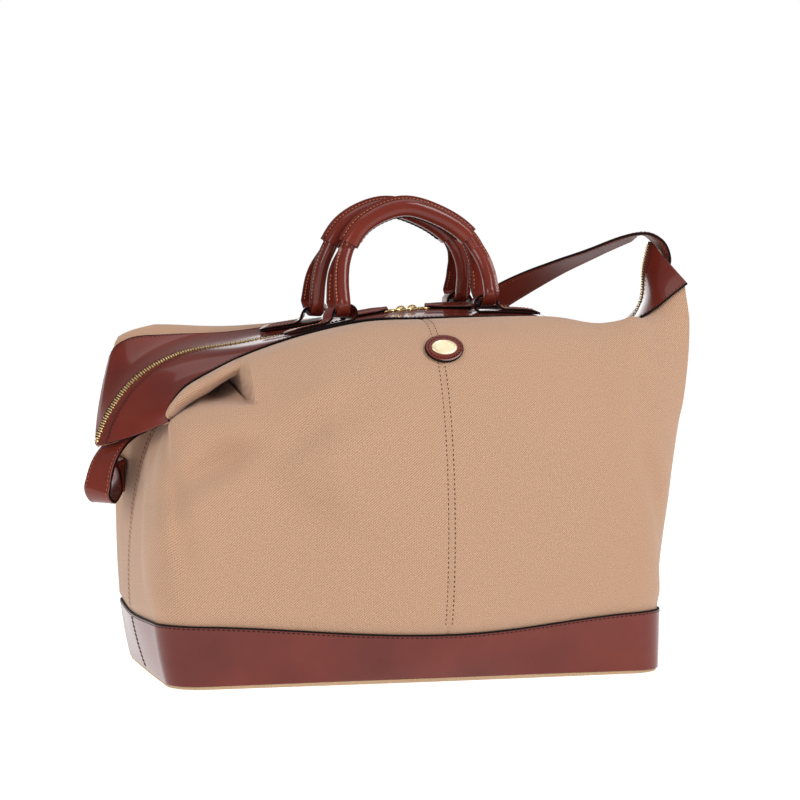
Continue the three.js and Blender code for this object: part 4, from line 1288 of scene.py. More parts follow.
@dataclass
class ZipTeeth(Repeats):
    """Teeth of the closed chain."""

    def shape(self) -> Mesh:
        """One tooth: a block with rounded edges.

        Returns:
            The mesh.
        """
        mesh = bmesh.new()
        bmesh.ops.create_cube(mesh, size=1.0)
        bmesh.ops.bevel(
            mesh, geom=mesh.edges[:], offset=0.16, segments=1, profile=0.5, affect="EDGES", material=-1
        )
        return mesh


@dataclass(frozen=True)
class Fold:
    """A soft ridge or dent in a panel, in millimetres where it has a length."""

    share: float
    rise: float
    angle: float
    length: float
    width: float
    height: float


FOLDS = {
    "front_left": (
        Fold(0.47, 0.50, 12, 60, 16, 7.7), Fold(0.47, 0.42, -28, 66, 13, -9.8),
        Fold(0.50, 0.32, -32, 66, 16, 8.4), Fold(0.33, 0.58, -40, 55, 18, 6.3),
        Fold(0.36, 0.46, -38, 70, 14, -7.0), Fold(0.60, 0.30, 75, 70, 12, -6.3),
        Fold(0.30, 0.33, 30, 75, 20, -7.0), Fold(0.24, 0.50, -30, 70, 18, 4.9),
        Fold(0.16, 0.62, 10, 60, 22, 3.1), Fold(0.80, 0.35, 80, 70, 14, 3.5),
    ),
    "front_right": (
        Fold(0.30, 0.45, -40, 80, 22, -4.5), Fold(0.48, 0.55, -60, 80, 14, 5.0),
        Fold(0.56, 0.40, -75, 90, 12, -4.8), Fold(0.50, 0.80, -80, 40, 8, 3.4),
        Fold(0.14, 0.78, -8, 50, 16, 3.1), Fold(0.82, 0.45, 80, 90, 14, 3.4),
    ),
    "back_left": (
        Fold(0.30, 0.5, 35, 80, 22, -2.2), Fold(0.55, 0.4, 70, 80, 14, 2.2),
        Fold(0.80, 0.4, 80, 70, 14, 2.2),
    ),
    "back_right": (
        Fold(0.30, 0.4, -35, 80, 22, -2.2), Fold(0.52, 0.5, -65, 80, 14, 2.2),
        Fold(0.82, 0.45, 80, 90, 14, 2.2),
    ),
}


@dataclass
class CanvasBody:
    """The four twill panels and their seams."""

    form: BagForm
    wall: float = 1.4
    behind_band: float = 2.5
    under_top: float = 2.5
    hem_inset: float = 3.5
    hem_run: float = 60.0
    slit: float = 14.0
    hole: float = 55.0
    hole_drop: float = 2.0
    hole_lift: float = 1.5
    crease_from: Span = (0.415, 0.44)
    crease_to: Span = (0.6, CORNER)
    crease_width: float = 0.03
    hole_from: Span = (0.412, 0.423)
    hole_to: Span = (0.46, 0.53)
    hole_width: float = 0.026
    columns: int = 120
    tuck_columns: tuple[int, int, int] = (46, 44, 66)
    tuck_shares: Span = (0.385, 0.455)
    rows: tuple[int, int, int] = (54, 44, 24)
    tuck_rises: Span = (0.62, 0.78)
    soft_corner: float = 4.0
    corner_width: float = 0.1
    fold_fade: Span = (25.0, 20.0)
    seam_groove: float = 0.9
    groove_width: float = 1.6
    seam_stitch: float = 3.2
    stitch_pitch: float = 4.5

    @property
    def rises(self) -> Array:
        """Rises of the rows, with two behind the band and two under the leather."""
        return np.concatenate([[-0.06, -0.03], self._spread(self.tuck_rises, self.rows), [1.02, 1.05]])

    @staticmethod
    def _spread(middle: Span, counts: tuple[int, int, int]) -> Array:
        """Shares from 0 to 1 in three runs.

        Args:
            middle: Where the middle run starts and stops.
            counts: Shares in each run.

        Returns:
            The shares.
        """
        start, stop = middle
        before = np.linspace(0.0, start, counts[0], endpoint=False)
        between = np.linspace(start, stop, counts[1], endpoint=False)
        return np.concatenate([before, between, np.linspace(stop, 1.0, counts[2])])

    def shares(self, side: Side) -> Array:
        """Shares of a panel's columns, closer together at the end of the tuck."""
        plain = np.linspace(0.0, 1.0, self.columns)
        return self._spread(self.tuck_shares, self.tuck_columns) if side is Side.FRONT_LEFT else plain

    def surface(self, side: Side) -> Surface:
        """Outer face of a panel, with its folds.

        Args:
            side: The panel.

        Returns:
            The face.
        """
        rises = self.rises
        shares = self.shares(side)
        grid = np.stack([self._column(side, share, rises) for share in shares], axis=1)
        grid = self._rounded(grid, shares, rises)
        middle_out = self.form.outward(side, float(shares[len(shares) // 2]))
        plain = Surface(grid, middle_out)
        heights = np.zeros(grid.shape[:2])
        for fold in FOLDS[side.label]:
            heights += self._fold(plain, fold, shares, rises)
        from_end = plain.along[:, -1:] - plain.along
        heights *= window(rises, (0.02, 0.12), (0.9, 0.98))[:, None]
        for run, fade in zip((plain.along, from_end), self.fold_fade):
            heights *= smooth(run, 0.0, fade)
        heights -= self.seam_groove * bell(np.minimum(plain.along, from_end), 0.0, self.groove_width)
        return plain.raised(heights)

    def _rounded(self, grid: Array, shares: Array, rises: Array) -> Array:
        """Softens the upright corner of a panel between the band and the wing.

        Args:
            grid: Points of the panel.
            shares: Shares of its columns.
            rises: Rises of its rows.

        Returns:
            The softened points.
        """
        reach = int(3 * self.soft_corner)
        steps = np.arange(-reach, reach + 1)
        weights = np.exp(-((steps / self.soft_corner) ** 2) / 2)
        wide = np.pad(grid, ((0, 0), (reach, reach), (0, 0)), mode="edge")
        soft = sum(w * wide[:, k:k + grid.shape[1]] for k, w in enumerate(weights / weights.sum()))
        near = bell(shares, CORNER, self.corner_width)
        amount = np.outer(window(rises, (0.0, 0.12), (0.5, 0.64)), near)
        return mix(grid, soft, amount[:, :, None])

    def _column(self, side: Side, share: float, rises: Array) -> Array:
        """One column of a panel, tucked behind the band at its foot and under the leather at its hem.

        Args:
            side: The panel.
            share: Share of its width.
            rises: Rises of the rows.

        Returns:
            One point for each rise.
        """
        points = self.form.canvas_points(side, share, np.clip(rises, 0.0, 1.0))
        inward = -self.form.outward(side, share)
        place, across = self.form.hem_place(side, share)
        facing = self.form.top_frame(place, across).normal
        at_end = smooth(share, CORNER - 0.05, CORNER + 0.05)
        beside = self.form.top_point(place * (1 - 0.03 * at_end), across * (1 - 0.12 * (1 - at_end)))
        inside = unit(beside - self.form.top_point(place, across))
        points = points + np.outer(self.behind_band * (1 - smooth(rises, 0.0, 0.05)), inward)
        points = points - np.outer(self.under_top * smooth(rises, 0.87, 1.0), facing)
        on_wing = window(share, (0.5, 0.56), (0.62, 0.68)) if side is Side.FRONT_LEFT else 0.0
        at_tip = smooth(share, 0.82, 0.93)
        inset = self.hem_inset * (1 + 0.7 * on_wing) * (1 - 0.7 * at_tip)
        points = points + np.outer(inset * smooth(rises, 0.88, 1.0), inside)
        if side is Side.FRONT_LEFT:
            points = points + self._slit(share, rises, inward)
        for k, rise in enumerate(rises):
            if rise < 0:
                behind = self.form.band_points(side, share, np.array([1 + 3 * rise]))[0]
                points[k] = behind + inward * self.behind_band
            if rise > 1:
                reach = inset + self.hem_run * (rise - 1) * (1 - 0.8 * at_tip)
                depth = self.under_top + 0.4 + at_tip
                points[k] = self.form.top_point(place, across) + inside * reach - facing * depth
        return points

    def _slit(self, share: float, rises: Array, inward: Array) -> Array:
        """How the tuck's crease runs in under the wing, and opens into a hole at its end.

        Args:
            share: Share of the panel's width.
            rises: Rises of the rows.
            inward: Direction into the bag.

        Returns:
            How far each point moves.
        """
        crease = window(share, self.crease_from, self.crease_to)
        hole = window(share, self.hole_from, self.hole_to)
        depth = self.slit * crease * bell(rises, TUCK_SPLIT, self.crease_width)
        depth += self.hole * hole * bell(rises, TUCK_SPLIT, self.hole_width)
        below = window(rises, (0.64, 0.69), (TUCK_SPLIT, 0.74))
        lift = hole * (self.hole_lift * bell(rises, 0.78, 0.05) - self.hole_drop * below)
        return np.outer(depth, inward) + np.outer(lift, UP)

    @staticmethod
    def _fold(surface: Surface, fold: Fold, shares: Array, rises: Array) -> Array:
        """Height of one fold at each point of a panel.

        Args:
            surface: The panel.
            fold: The fold.
            shares: Shares of the columns.
            rises: Rises of the rows.

        Returns:
            One height for each point.
        """
        column = int(np.argmin(np.abs(shares - fold.share)))
        row = int(np.argmin(np.abs(rises - fold.rise)))
        x = surface.along - surface.along[row, column]
        y = surface.up - surface.up[row, column]
        turn = math.radians(fold.angle)
        along = x * math.cos(turn) + y * math.sin(turn)
        across = y * math.cos(turn) - x * math.sin(turn)
        return fold.height * np.exp(-((along / fold.length) ** 2) - (across / fold.width) ** 2)

    def build(self) -> None:
        """Builds the panels and sews their seams."""
        thread = Repeats("stitches_canvas", SEAM_THREAD, (2.6, 1.0, 0.5))
        for side in Side:
            surface = self.surface(side)
            piece = Shop.sheet(
                f"cloth_{side.label}", surface, self.wall, (CANVAS, CANVAS), rim=0,
                uv=surface.woven(-side.x * side.y),
            )
            Shop.hang(piece, Slot.CANVAS, f"canvas_{side.label}")
            surface.flat
            surface.area
            last = len(surface.along[0]) - 1
            for base, distance, stop in ((0, self.seam_stitch, -5), (last, -self.seam_stitch, -12)):
                points, normals = surface.column(base, distance)
                thread.sew(points[4:stop], normals[4:stop], self.stitch_pitch)
        thread.build(Slot.CANVAS)


@dataclass
class BaseBand:
    """Leather band round the base and the board under it."""

    form: BagForm
    wall: float = 2.0
    board: float = 4.6
    board_bevel: float = 1.2
    steps: int = 260
    rows: int = 18
    foot_rise: float = -0.04
    paint: float = 0.026
    board_inset: float = 0.9
    stitch_below_edge: float = 2.8
    stitch_pitch: float = 4.6
    seam_stitch: float = 2.4
    seam_pitch: float = 4.2
    seam_place: float = 0.9995

    def build(self) -> None:
        """Builds both halves, their stitches and the bottom."""
        thread = Repeats("stitches_band", DARK_THREAD, (3.0, 1.2, 0.5))
        seam = Repeats("stitches_band_ends", DARK_THREAD, (3.5, 1.8, 0.8))
        rises = np.append(np.linspace(self.foot_rise, 1 - self.paint, self.rows - 1), 1.0)
        for half in Half:
            columns = []
            for place in np.linspace(-self.seam_place, self.seam_place, self.steps):
                side = Side((-1 if place < 0 else 1, half.value))
                columns.append(self.form.band_points(side, abs(place), rises))
            surface = Surface(np.stack(columns, axis=1), np.array([0.0, half.value, 0.0]))
            name, painted = f"band_leather_{half.label}", (self.rows - 2,)
            piece = Shop.sheet(name, surface, self.wall, (LEATHER, EDGE), bevel=0.5, painted=painted)
            Shop.hang(piece, Slot.LEATHER, f"band_{half.label}")
            last_row, last_column = self.rows - 1, self.steps - 1
            thread.sew(*surface.row(last_row, -self.stitch_below_edge), self.stitch_pitch)
            seam.sew(*surface.column(0, self.seam_stitch), self.seam_pitch)
            seam.sew(*surface.column(last_column, -self.seam_stitch), self.seam_pitch)
        thread.build(Slot.LEATHER)
        seam.build(Slot.LEATHER)
        self._bottom()

    def _bottom(self) -> None:
        """The board with its cloth cover."""
        outline = []
        shares = np.linspace(0.0, 1.0, 40, endpoint=False)
        for side in (Side.FRONT_LEFT, Side.BACK_LEFT, Side.BACK_RIGHT, Side.FRONT_RIGHT):
            quarter = shares if side.x * side.y > 0 else 1 - shares
            outline += [BAND_FOOT.point(side, share)[:2] for share in quarter]
        b, top = self.board_bevel, self.board
        wide = 1 - self.board_inset / BAND_FOOT.half_depth
        inset = wide - b / BAND_FOOT.half_depth
        low = mix(inset, wide, 0.7)
        profile = ((0, 0), (inset, 0), (low, 0.3 * b), (wide, b), (wide, top - b), (inset, top), (0, top))
        piece = Shop.turned(
            "base_board", np.array(outline), profile, lambda x, y, z: np.array([x, y, z]), (BOARD,)
        )
        Shop.hang(piece, Slot.CANVAS, "bottom_panel")


@dataclass
class LeatherTop:
    """The two leather halves of the top, with their wings, and the zip between them."""

    form: BagForm
    wall: float = 2.0
    steps: int = 300
    rows: int = 26
    front_edge: Span = (0.115, 0.17)
    back_edge: Span = (0.085, 0.085)
    tape_depth: float = 2.4
    tape_wall: float = 0.7
    tooth_pitch: float = 2.5
    tooth: Triple = (1.4, 5.4, 2.2)
    tooth_sink: float = 0.5
    edge_lift: float = 1.7
    paint: float = 0.016
    zip_from: float = -0.995
    zip_to: float = 0.99
    hem_stitch: float = 3.2
    zip_stitch: float = 3.0
    stitch_pitch: float = 4.2

    def inner(self, half: Half, place: float) -> float:
        """Where a half ends beside the zip."""
        middle, end = self.front_edge if half is Half.FRONT else self.back_edge
        return half.value * mix(middle, end, smooth(-place, 0.4, 1.0)) * (1 - 0.7 * smooth(place, 0.955, 1.0))

    def surface(self, half: Half) -> Surface:
        """Upper face of one half.

        Args:
            half: The half.

        Returns:
            The face.
        """
        columns = []
        for place in np.linspace(-1.0, 1.0, self.steps):
            outer, inner, paint = half.value, self.inner(half, place), half.value * self.paint
            across = np.concatenate([[outer], np.linspace(outer - paint, inner + paint, self.rows - 2), [inner]])
            lift = self.edge_lift * (1 - smooth(abs(place), 0.3, 0.5))
            raised = np.outer(lift * (1 - smooth(np.abs(across), 0.12, 0.5)), UP)
            columns.append(self.form.top_points(place, across) + raised)
        return Surface(np.stack(columns, axis=1), UP)

    def build(self) -> None:
        """Builds the halves, their stitches and the zip."""
        thread = Repeats("stitches_top", DARK_THREAD, (2.4, 0.85, 0.5))
        for half in Half:
            surface = self.surface(half)
            name, painted = f"top_leather_{half.label}", (0, self.rows - 2)
            piece = Shop.sheet(name, surface, self.wall, (LEATHER, EDGE), bevel=0.5, painted=painted)
            Shop.hang(piece, Slot.LEATHER, f"top_{half.label}")
            thread.sew(*surface.row(0, self.hem_stitch), self.stitch_pitch)
            thread.sew(*surface.row(self.rows - 1, -self.zip_stitch), self.stitch_pitch)
            self._tape(half)
        thread.build(Slot.LEATHER)
        self._teeth()
        for end in End:
            ZipPull(self.form, end).build()

    def _tape(self, half: Half) -> None:
        """The woven tape under one half.

        Args:
            half: The half.
        """
        columns = []
        for place in np.linspace(-1.0, self.zip_to, self.steps):
            across = np.linspace(half.value * 0.012, half.value * 0.24, 8)
            facing = self.form.top_frame(place, 0.0).normal
            under = self.tape_depth * smooth(np.abs(across), 0.05, 0.1) + 0.5
            columns.append(self.form.top_points(place, across) - np.outer(under, facing))
        surface = Surface(np.stack(columns, axis=1), UP)
        piece = Shop.sheet(f"tape_{half.label}", surface, self.tape_wall, (TAPE, TAPE), rim=0)
        Shop.hang(piece, Slot.TAPE, f"zip_tape_{half.label}")
        surface.flat
        surface.area

    def _teeth(self) -> None:
        """The closed chain, tooth by tooth."""
        places = np.linspace(self.zip_from, self.zip_to, 500)
        line = np.array([self.form.top_point(place, 0.0) for place in places])
        tilt = -0.12 * smooth(-places, 0.3, 0.6)
        normals = np.array([self.form.top_frame(p, t).normal for p, t in zip(places, tilt)])
        teeth = ZipTeeth("zip_teeth", TEETH, self.tooth)
        for k, frame in enumerate(spaced(line, normals, self.tooth_pitch)):
            shift = 0.4 if k % 2 else -0.4
            lift = -self.tooth_sink * (1 - smooth(abs(frame.middle[0]), 90.0, 140.0))
            teeth.frames.append(Frame(frame.place(0.0, shift, lift), frame.forward, frame.across, frame.normal))
        piece = teeth.build(Slot.BRASS)
        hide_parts("zip_chain")


@dataclass
class ZipPull:
    """A slider with its ring and leather pull, on one side of the middle."""

    form: BagForm
    end: End
    slider_out: float = 5.6
    slider: Triple = (10.0, 9.0, 4.5)
    ring_out: float = 16.6
    ring_radius: float = 4.4
    ring_wire: float = 1.1
    pull_from: float = 22.7
    pull_length: float = 42.0
    pull_width: float = 10.0
    pull_wall: float = 4.0
    pull_lean: float = 22.0
    chain_top: float = 1.05

    def at(self, distance: float, lift: float) -> Frame:
        """Frame on the zip at a distance from the middle."""
        frame = self.form.top_above(SEAM_X + self.end.value * distance, 0.0)
        return frame.moved(self.chain_top + lift)

    def build(self) -> None:
        """Builds the three pieces."""
        self._slider()
        self._ring()
        self._pull()

    def _slider(self) -> None:
        """Body of the slider with its bail."""
        length, width, height = self.slider
        frame = self.at(self.slider_out, 0.0)
        mesh = bmesh.new()
        bmesh.ops.create_cube(mesh, size=1.0)
        bmesh.ops.subdivide_edges(mesh, edges=mesh.edges[:], cuts=3, use_grid_fill=True)
        for vert in mesh.verts:
            waist = 1 - 0.28 * math.cos(math.pi * vert.co.x) ** 2
            vert.co = Vector((vert.co.x * length, vert.co.y * width * waist, (vert.co.z + 0.5) * height * 0.6))
        sharp = [edge for edge in mesh.edges if edge.calc_face_angle(0.0) > 0.8]
        bmesh.ops.bevel(mesh, geom=sharp, offset=0.7, segments=2, profile=0.5, affect="EDGES", material=-1)
        body = set(mesh.verts)
        arch = bmesh.ops.create_circle(mesh, segments=8, radius=1.3, cap_ends=True)
        bmesh.ops.rotate(mesh, verts=arch["verts"], matrix=Matrix.Rotation(math.pi / 2, 3, "X"))
        bmesh.ops.translate(mesh, verts=arch["verts"], vec=(3.4, 0.0, height * 0.4))
        face = next(f for f in mesh.faces if all(v in arch["verts"] for v in f.verts))
        bmesh.ops.spin(
            mesh, geom=[face], cent=(0.0, 0.0, height * 0.4), axis=(0.0, -1.0, 0.0), angle=math.pi, steps=10,
            use_merge=False, use_duplicate=False,
        )
        for vert in mesh.verts:
            if vert not in body:
                vert.co.z = height * 0.4 + (vert.co.z - height * 0.4) * 0.75
            vert.co = Vector(frame.place(*vert.co) * MM)
        bmesh.ops.recalc_face_normals(mesh, faces=mesh.faces)
        for face in mesh.faces:
            face.smooth = True
        Shop.hang(Shop.made(f"slider_{self.end.label}", mesh, (BRASS,)), Slot.BRASS, f"zip_slider_{self.end.label}")

    def _ring(self) -> None:
        """Ring between the slider and the pull."""
        frame = self.at(self.ring_out, self.ring_wire + 0.4)
        round_section = round_outline(12, self.ring_wire, self.ring_wire)
        frames = []
        for turn in full_turn(36):
            out = frame.forward * math.cos(turn) * 1.35 + frame.across * math.sin(turn)
            frames.append(Frame(frame.middle + out * self.ring_radius, frame.normal, unit(out), frame.normal))
        piece = Shop.swept(f"ring_{self.end.label}", frames, [round_section] * len(frames), (BRASS,), loop=True)
        Shop.hang(piece, Slot.BRASS, f"zip_ring_{self.end.label}")

    def _pull(self) -> None:
        """Folded leather pull with painted edges."""
        frames, sections = [], []
        lean = math.radians(self.pull_lean)
        for t in np.linspace(0.0, 1.0, 40):
            distance = self.pull_from - 4.0 + (self.pull_length + 4.0) * t
            seat = self.at(distance, self.pull_wall / 2 - 0.4 + self.pull_width / 2 * math.sin(lean))
            across = seat.across * math.cos(lean) + seat.normal * math.sin(lean)
            frames.append(Frame(seat.middle, seat.forward, across, unit(np.cross(seat.forward, across))))
            width = self.pull_width / 2 * mix(0.62, 1.0, smooth(t, 0.05, 0.35))
            width *= math.sqrt(max(1 - max((t - 0.9) / 0.1, 0.0) ** 2 * 0.75, 0.0))
            sections.append(round_outline(28, width, self.pull_wall / 2, (0.35, 0.5)))
        name, edges = f"pull_{self.end.label}", (26, 27, 0, 1, 12, 13, 14, 15)
        piece = Shop.swept(name, frames, sections, (LEATHER, EDGE), lambda i, j: int(j in edges))
        Shop.hang(piece, Slot.LEATHER, f"zip_pull_{self.end.label}")


@dataclass
class Handle:
    """One carrying handle: rolled arch, flat straps, grip and the tabs at its feet."""

    form: BagForm
    half: Half
    shift_x: float
    tube_foot_y: float
    flat_foot_y: float
    grip_y: float
    light: Repeats
    dark: Repeats
    joined_z: float = 402.0
    tube_radius: float = 6.0
    fin: float = 8.8
    tube_shift: float = -4.0
    flat_width: float = 20.0
    flat_end_width: float = 10.0
    flat_wall: float = 3.2
    flat_shift: float = 4.6
    flat_reach: Span = (0.3, 0.64)
    bend_width: float = 12.2
    bend_wall: float = 4.8
    eye: float = 8.6
    parts: tuple[float, float, float, float] = (0.12, 0.27, 0.73, 0.88)
    stations: int = 300
    around: int = 48
    grip_from: float = 0.265
    grip_to: float = 0.672
    grip_half_in: float = 8.6
    grip_half_side: float = 11.6
    grip_flange: float = 11.6
    grip_wall: float = 1.6
    tab_width: float = 17.0
    tab_wall: float = 2.6
    stitch_inset: float = 2.6
    stitch_pitch: float = 3.7

    def _high(self, point: Array, left: bool) -> float:
        """Share of the way from the foot to where the strands are joined."""
        foot_z = self.form.arch.points[0 if left else -1][2]
        return float(np.clip((point[2] - foot_z) / (self.joined_z - foot_z), 0.0, 1.0))

    def centre(self, t: float) -> tuple[Array, Array, float, float, float]:
        """Middle line of the handle: point, inward direction, roll, width and thickness.

        Args:
            t: 0 at one end of the strap and 1 at the other.

        Returns:
            The five values.
        """
        flat_end, tube_start, tube_end, flat_start = self.parts
        left = t < 0.5
        if tube_start <= t <= tube_end:
            at = (t - tube_start) / (tube_end - tube_start)
            point, inside = self.form.arch_at(at, self.shift_x)
            point[1] = mix(self.tube_foot_y, self.grip_y + self.tube_shift, self._high(point, at < 0.5))
            return point, inside, 1.0, self.bend_width, self.bend_wall
        share = t / flat_end if left else (1 - t) / (1 - flat_start)
        if share <= 1:
            at = mix(self.flat_reach[0], 0.0, share) if left else mix(self.flat_reach[1], 1.0, share)
            point, inside = self.form.arch_at(at, self.shift_x)
            point[1] = mix(self.flat_foot_y, self.grip_y + self.flat_shift, self._high(point, at < 0.5))
            width = mix(self.flat_end_width, self.flat_width, smooth(share, 0.0, 0.6))
            return point, inside, 0.0, width, self.flat_wall
        bend = (t - flat_end) / (tube_start - flat_end) if left else (flat_start - t) / (flat_start - tube_end)
        point, inside = self.form.arch_at(0.0 if left else 1.0, self.shift_x)
        middle_y = (self.flat_foot_y + self.tube_foot_y) / 2
        point[1] = middle_y + (self.flat_foot_y - middle_y) * math.cos(bend * math.pi)
        dip = point[2] - self.form.top_above(point[0], middle_y).middle[2] - self.eye
        point[2] -= dip * math.sin(bend * math.pi)
        swell = math.sin(bend * math.pi)
        width = mix(self.flat_width, self.bend_width, max(bend, swell))
        return point, inside, smooth(bend, 0.6, 1.0), width, mix(self.flat_wall, self.bend_wall, swell)

    def frame(self, t: float) -> tuple[Frame, float, float, float]:
        """Frame of the handle, across toward the inside of the arch, with its roll, width and thickness.

        Args:
            t: 0 at one end of the strap and 1 at the other.

        Returns:
            The four values.
        """
        step = 0.004
        point, inside, roll, width, wall = self.centre(t)
        tangent = unit(self.centre(min(t + step, 1.0))[0] - self.centre(max(t - step, 0.0))[0])
        sideways = unit(np.cross(tangent, inside))
        return Frame(point, tangent, unit(np.cross(sideways, tangent)), sideways), roll, width, wall

    def section(self, roll: float, width: float, wall: float) -> Array:
        """Outline of the handle: a flat strap with round edges, or a roll with a sewn fin.

        Args:
            roll: 0 for the flat strap, 1 for the roll.
            width: Width of the strap.
            wall: Its thickness.

        Returns:
            Distances across and along the normal.
        """
        flat = round_outline(self.around, width / 2, wall / 2, (0.3, 0.3))
        middle = self.around // 2
        radius = np.full((self.around, 1), self.tube_radius)
        radius[middle - 1 : middle + 2] = self.fin
        return mix(flat, round_outline(self.around, 1.0, 1.0) * radius, roll)

    def build(self) -> None:
        """Builds the strap, the grip and both tabs."""
        found = [self.frame(t) for t in np.linspace(0.0, 1.0, self.stations)]
        sections = [self.section(*row[1:]) for row in found]
        middle = self.around // 2

        def pick(station: int, point: int) -> int:
            """Slot of a face: the painted edge of a flat strap, the fin of a roll, or plain leather.

            Args:
                station: Station along the handle.
                point: Point of its section.

            Returns:
                The slot.
            """
            rolled = found[station][1] > 0.5
            on_fin = point in (middle - 1, middle)
            on_edge = abs(point + 0.5 - middle) < 3 or abs((point + 0.5 + middle) % self.around - middle) < 3
            return int(on_fin or (on_edge and not rolled))

        frames = [row[0] for row in found]
        piece = Shop.swept(f"handle_strap_{self.half.label}", frames, sections, (LEATHER, EDGE), pick)
        Shop.hang(piece, Slot.LEATHER, f"handle_{self.half.label}")
        self._sew_strap(found)
        self._grip()
        for end in End:
            self._tab(end)

    def _sew_strap(self, found: Sequence[tuple[Frame, float, float, float]]) -> None:
        """Stitches along the fin and along both edges of the flat straps.

        Args:
            found: Frame, roll, width and thickness at each station.
        """
        rolled = [frame for frame, roll, _, _ in found if roll > 0.98]
        for face in (-1, 1):
            self.light.follow(rolled, [1.7 - self.fin] * len(rolled), [face * 1.3] * len(rolled), self.stitch_pitch)
        for left in (True, False):
            flat = [row for k, row in enumerate(found) if row[1] == 0 and (k < len(found) / 2) == left]
            flat = [row for row in flat if row[2] > self.flat_width - 1]
            frames = [row[0] for row in flat]
            for face in (-1, 1):
                for edge in (-1, 1):
                    across = [edge * (row[2] / 2 - self.stitch_inset) for row in flat]
                    self.light.follow(frames, across, [face * row[3] / 2 for row in flat], self.stitch_pitch)

    def _grip(self) -> None:
        """Sleeve sewn round the middle of the handle."""
        turns = np.linspace(0.0, 2 * math.pi, 57)
        c, s = np.cos(turns), np.sin(turns)
        body_in = self.grip_half_in * squared(c, 0.75)
        body_side = self.grip_half_side * squared(s, 0.7)
        for k, (reach, side) in {-2: (-8.4, 2.7), -1: (-1, 2.1), 0: (-1, 0.0), 1: (-1, -2.1), 2: (-8.4, -2.7)}.items():
            body_in[28 + k] = reach if abs(k) == 2 else -self.grip_flange
            body_side[28 + k] = side
        rings, places = [], np.linspace(self.grip_from, self.grip_to, 70)
        frames = []
        for t in places:
            point, inside = self.form.arch_at(t, self.shift_x)
            point[1] = self.grip_y - 1.2
            frames.append(Frame(point, unit(np.cross(inside, SIDEWAYS)), inside, SIDEWAYS))
            rings.append(point + np.outer(body_in, inside) + np.outer(body_side, SIDEWAYS))
        surface = Surface(np.array(rings), -frames[35].across)
        name, seam = f"grip_sleeve_{self.half.label}", (27, 28)
        finishes = (LEATHER, EDGE)
        piece = Shop.laid(name, surface.points, surface.lengthwise, finishes, lambda i, j: int(j in seam))
        weld = piece.modifiers.new("seam", "WELD")
        weld.merge_threshold = 1e-5
        thick = piece.modifiers.new("wall", "SOLIDIFY")
        thick.thickness = self.grip_wall * MM
        middle = piece.data.polygons[len(piece.data.polygons) // 2]
        outward = np.array(middle.center) / MM - frames[35].middle
        thick.offset = -1.0 if np.array(middle.normal) @ outward > 0 else 1.0
        thick.material_offset_rim = 1
        Shop.hang(Shop.baked(piece), Slot.LEATHER, f"grip_{self.half.label}")
        across = [self.stitch_inset - self.grip_flange] * len(frames)
        for face in (-1, 1):
            self.light.follow(frames, across, [face * 2.5] * len(frames), self.stitch_pitch)
        whip = np.array([f.middle + f.across * self.grip_half_in for f in frames])
        slant = [
            Frame(f.middle, unit(f.forward + f.across * 0.9), unit(f.across - f.forward * 0.9), f.normal)
            for f in spaced(whip, np.array([f.across for f in frames]), 4.6, 3.0)
        ]
        self.dark.frames += slant

    def _tab(self, end: End) -> None:
        """Folded tongue with the loop that holds a foot of the handle.

        Args:
            end: The end of the handle.
        """
        foot = self.form.arch_at(0.0 if end is End.LEFT else 1.0, self.shift_x)[0]
        y = (self.tube_foot_y + self.flat_foot_y) / 2
        lean = self.form.top_above(foot[0], y).normal
        places = []
        for out, up in TAB_ROWS:
            x = float(foot[0] - lean[0] * self.eye + end.value * out)
            places.append(self.form.top_above(x, float(y - lean[1] * self.eye)).moved(up))
        path, sides = Spline([p.middle for p in places]), Spline([p.across for p in places])
        shares = np.linspace(0.0, 1.0, 130)
        line = np.array([path.at(t) for t in shares])
        lengths = lengths_along(line)
        frames, sections, halves = [], [], []
        radius = self.tab_width / 2
        for t, middle, length in zip(shares, line, lengths):
            tangent = path.tangent(t)
            across = unit(sides.at(t))
            normal = unit(np.cross(tangent, across))
            near_end = min(length, lengths[-1] - length, radius)
            half = max(math.sqrt(radius**2 - (radius - near_end) ** 2), 2.0)
            wall = self.tab_wall / 2 * mix(0.4, 1.0, near_end / radius)
            frames.append(Frame(middle, tangent, across, normal))
            halves.append(half)
            sections.append(round_outline(32, half, wall, (0.25, 0.5)))
        name, edges = f"{self.half.label}_{end.label}", (29, 30, 31, 0, 1, 2, 13, 14, 15, 16, 17, 18)
        piece = Shop.swept(f"foot_tab_{name}", frames, sections, (LEATHER, EDGE), lambda i, j: int(j in edges))
        Shop.hang(piece, Slot.LEATHER, f"tab_{name}")
        outer = [k for k in range(len(shares)) if lengths[-1] - 46 < lengths[k] < lengths[-1] - 4]
        out = [math.copysign(sections[k][:, 1].max(), frames[k].normal[2]) for k in outer]
        for edge in (-1, 1):
            across = [edge * max(halves[k] - self.stitch_inset, 0.0) for k in outer]
            self.light.follow([frames[k] for k in outer], across, out, self.stitch_pitch)


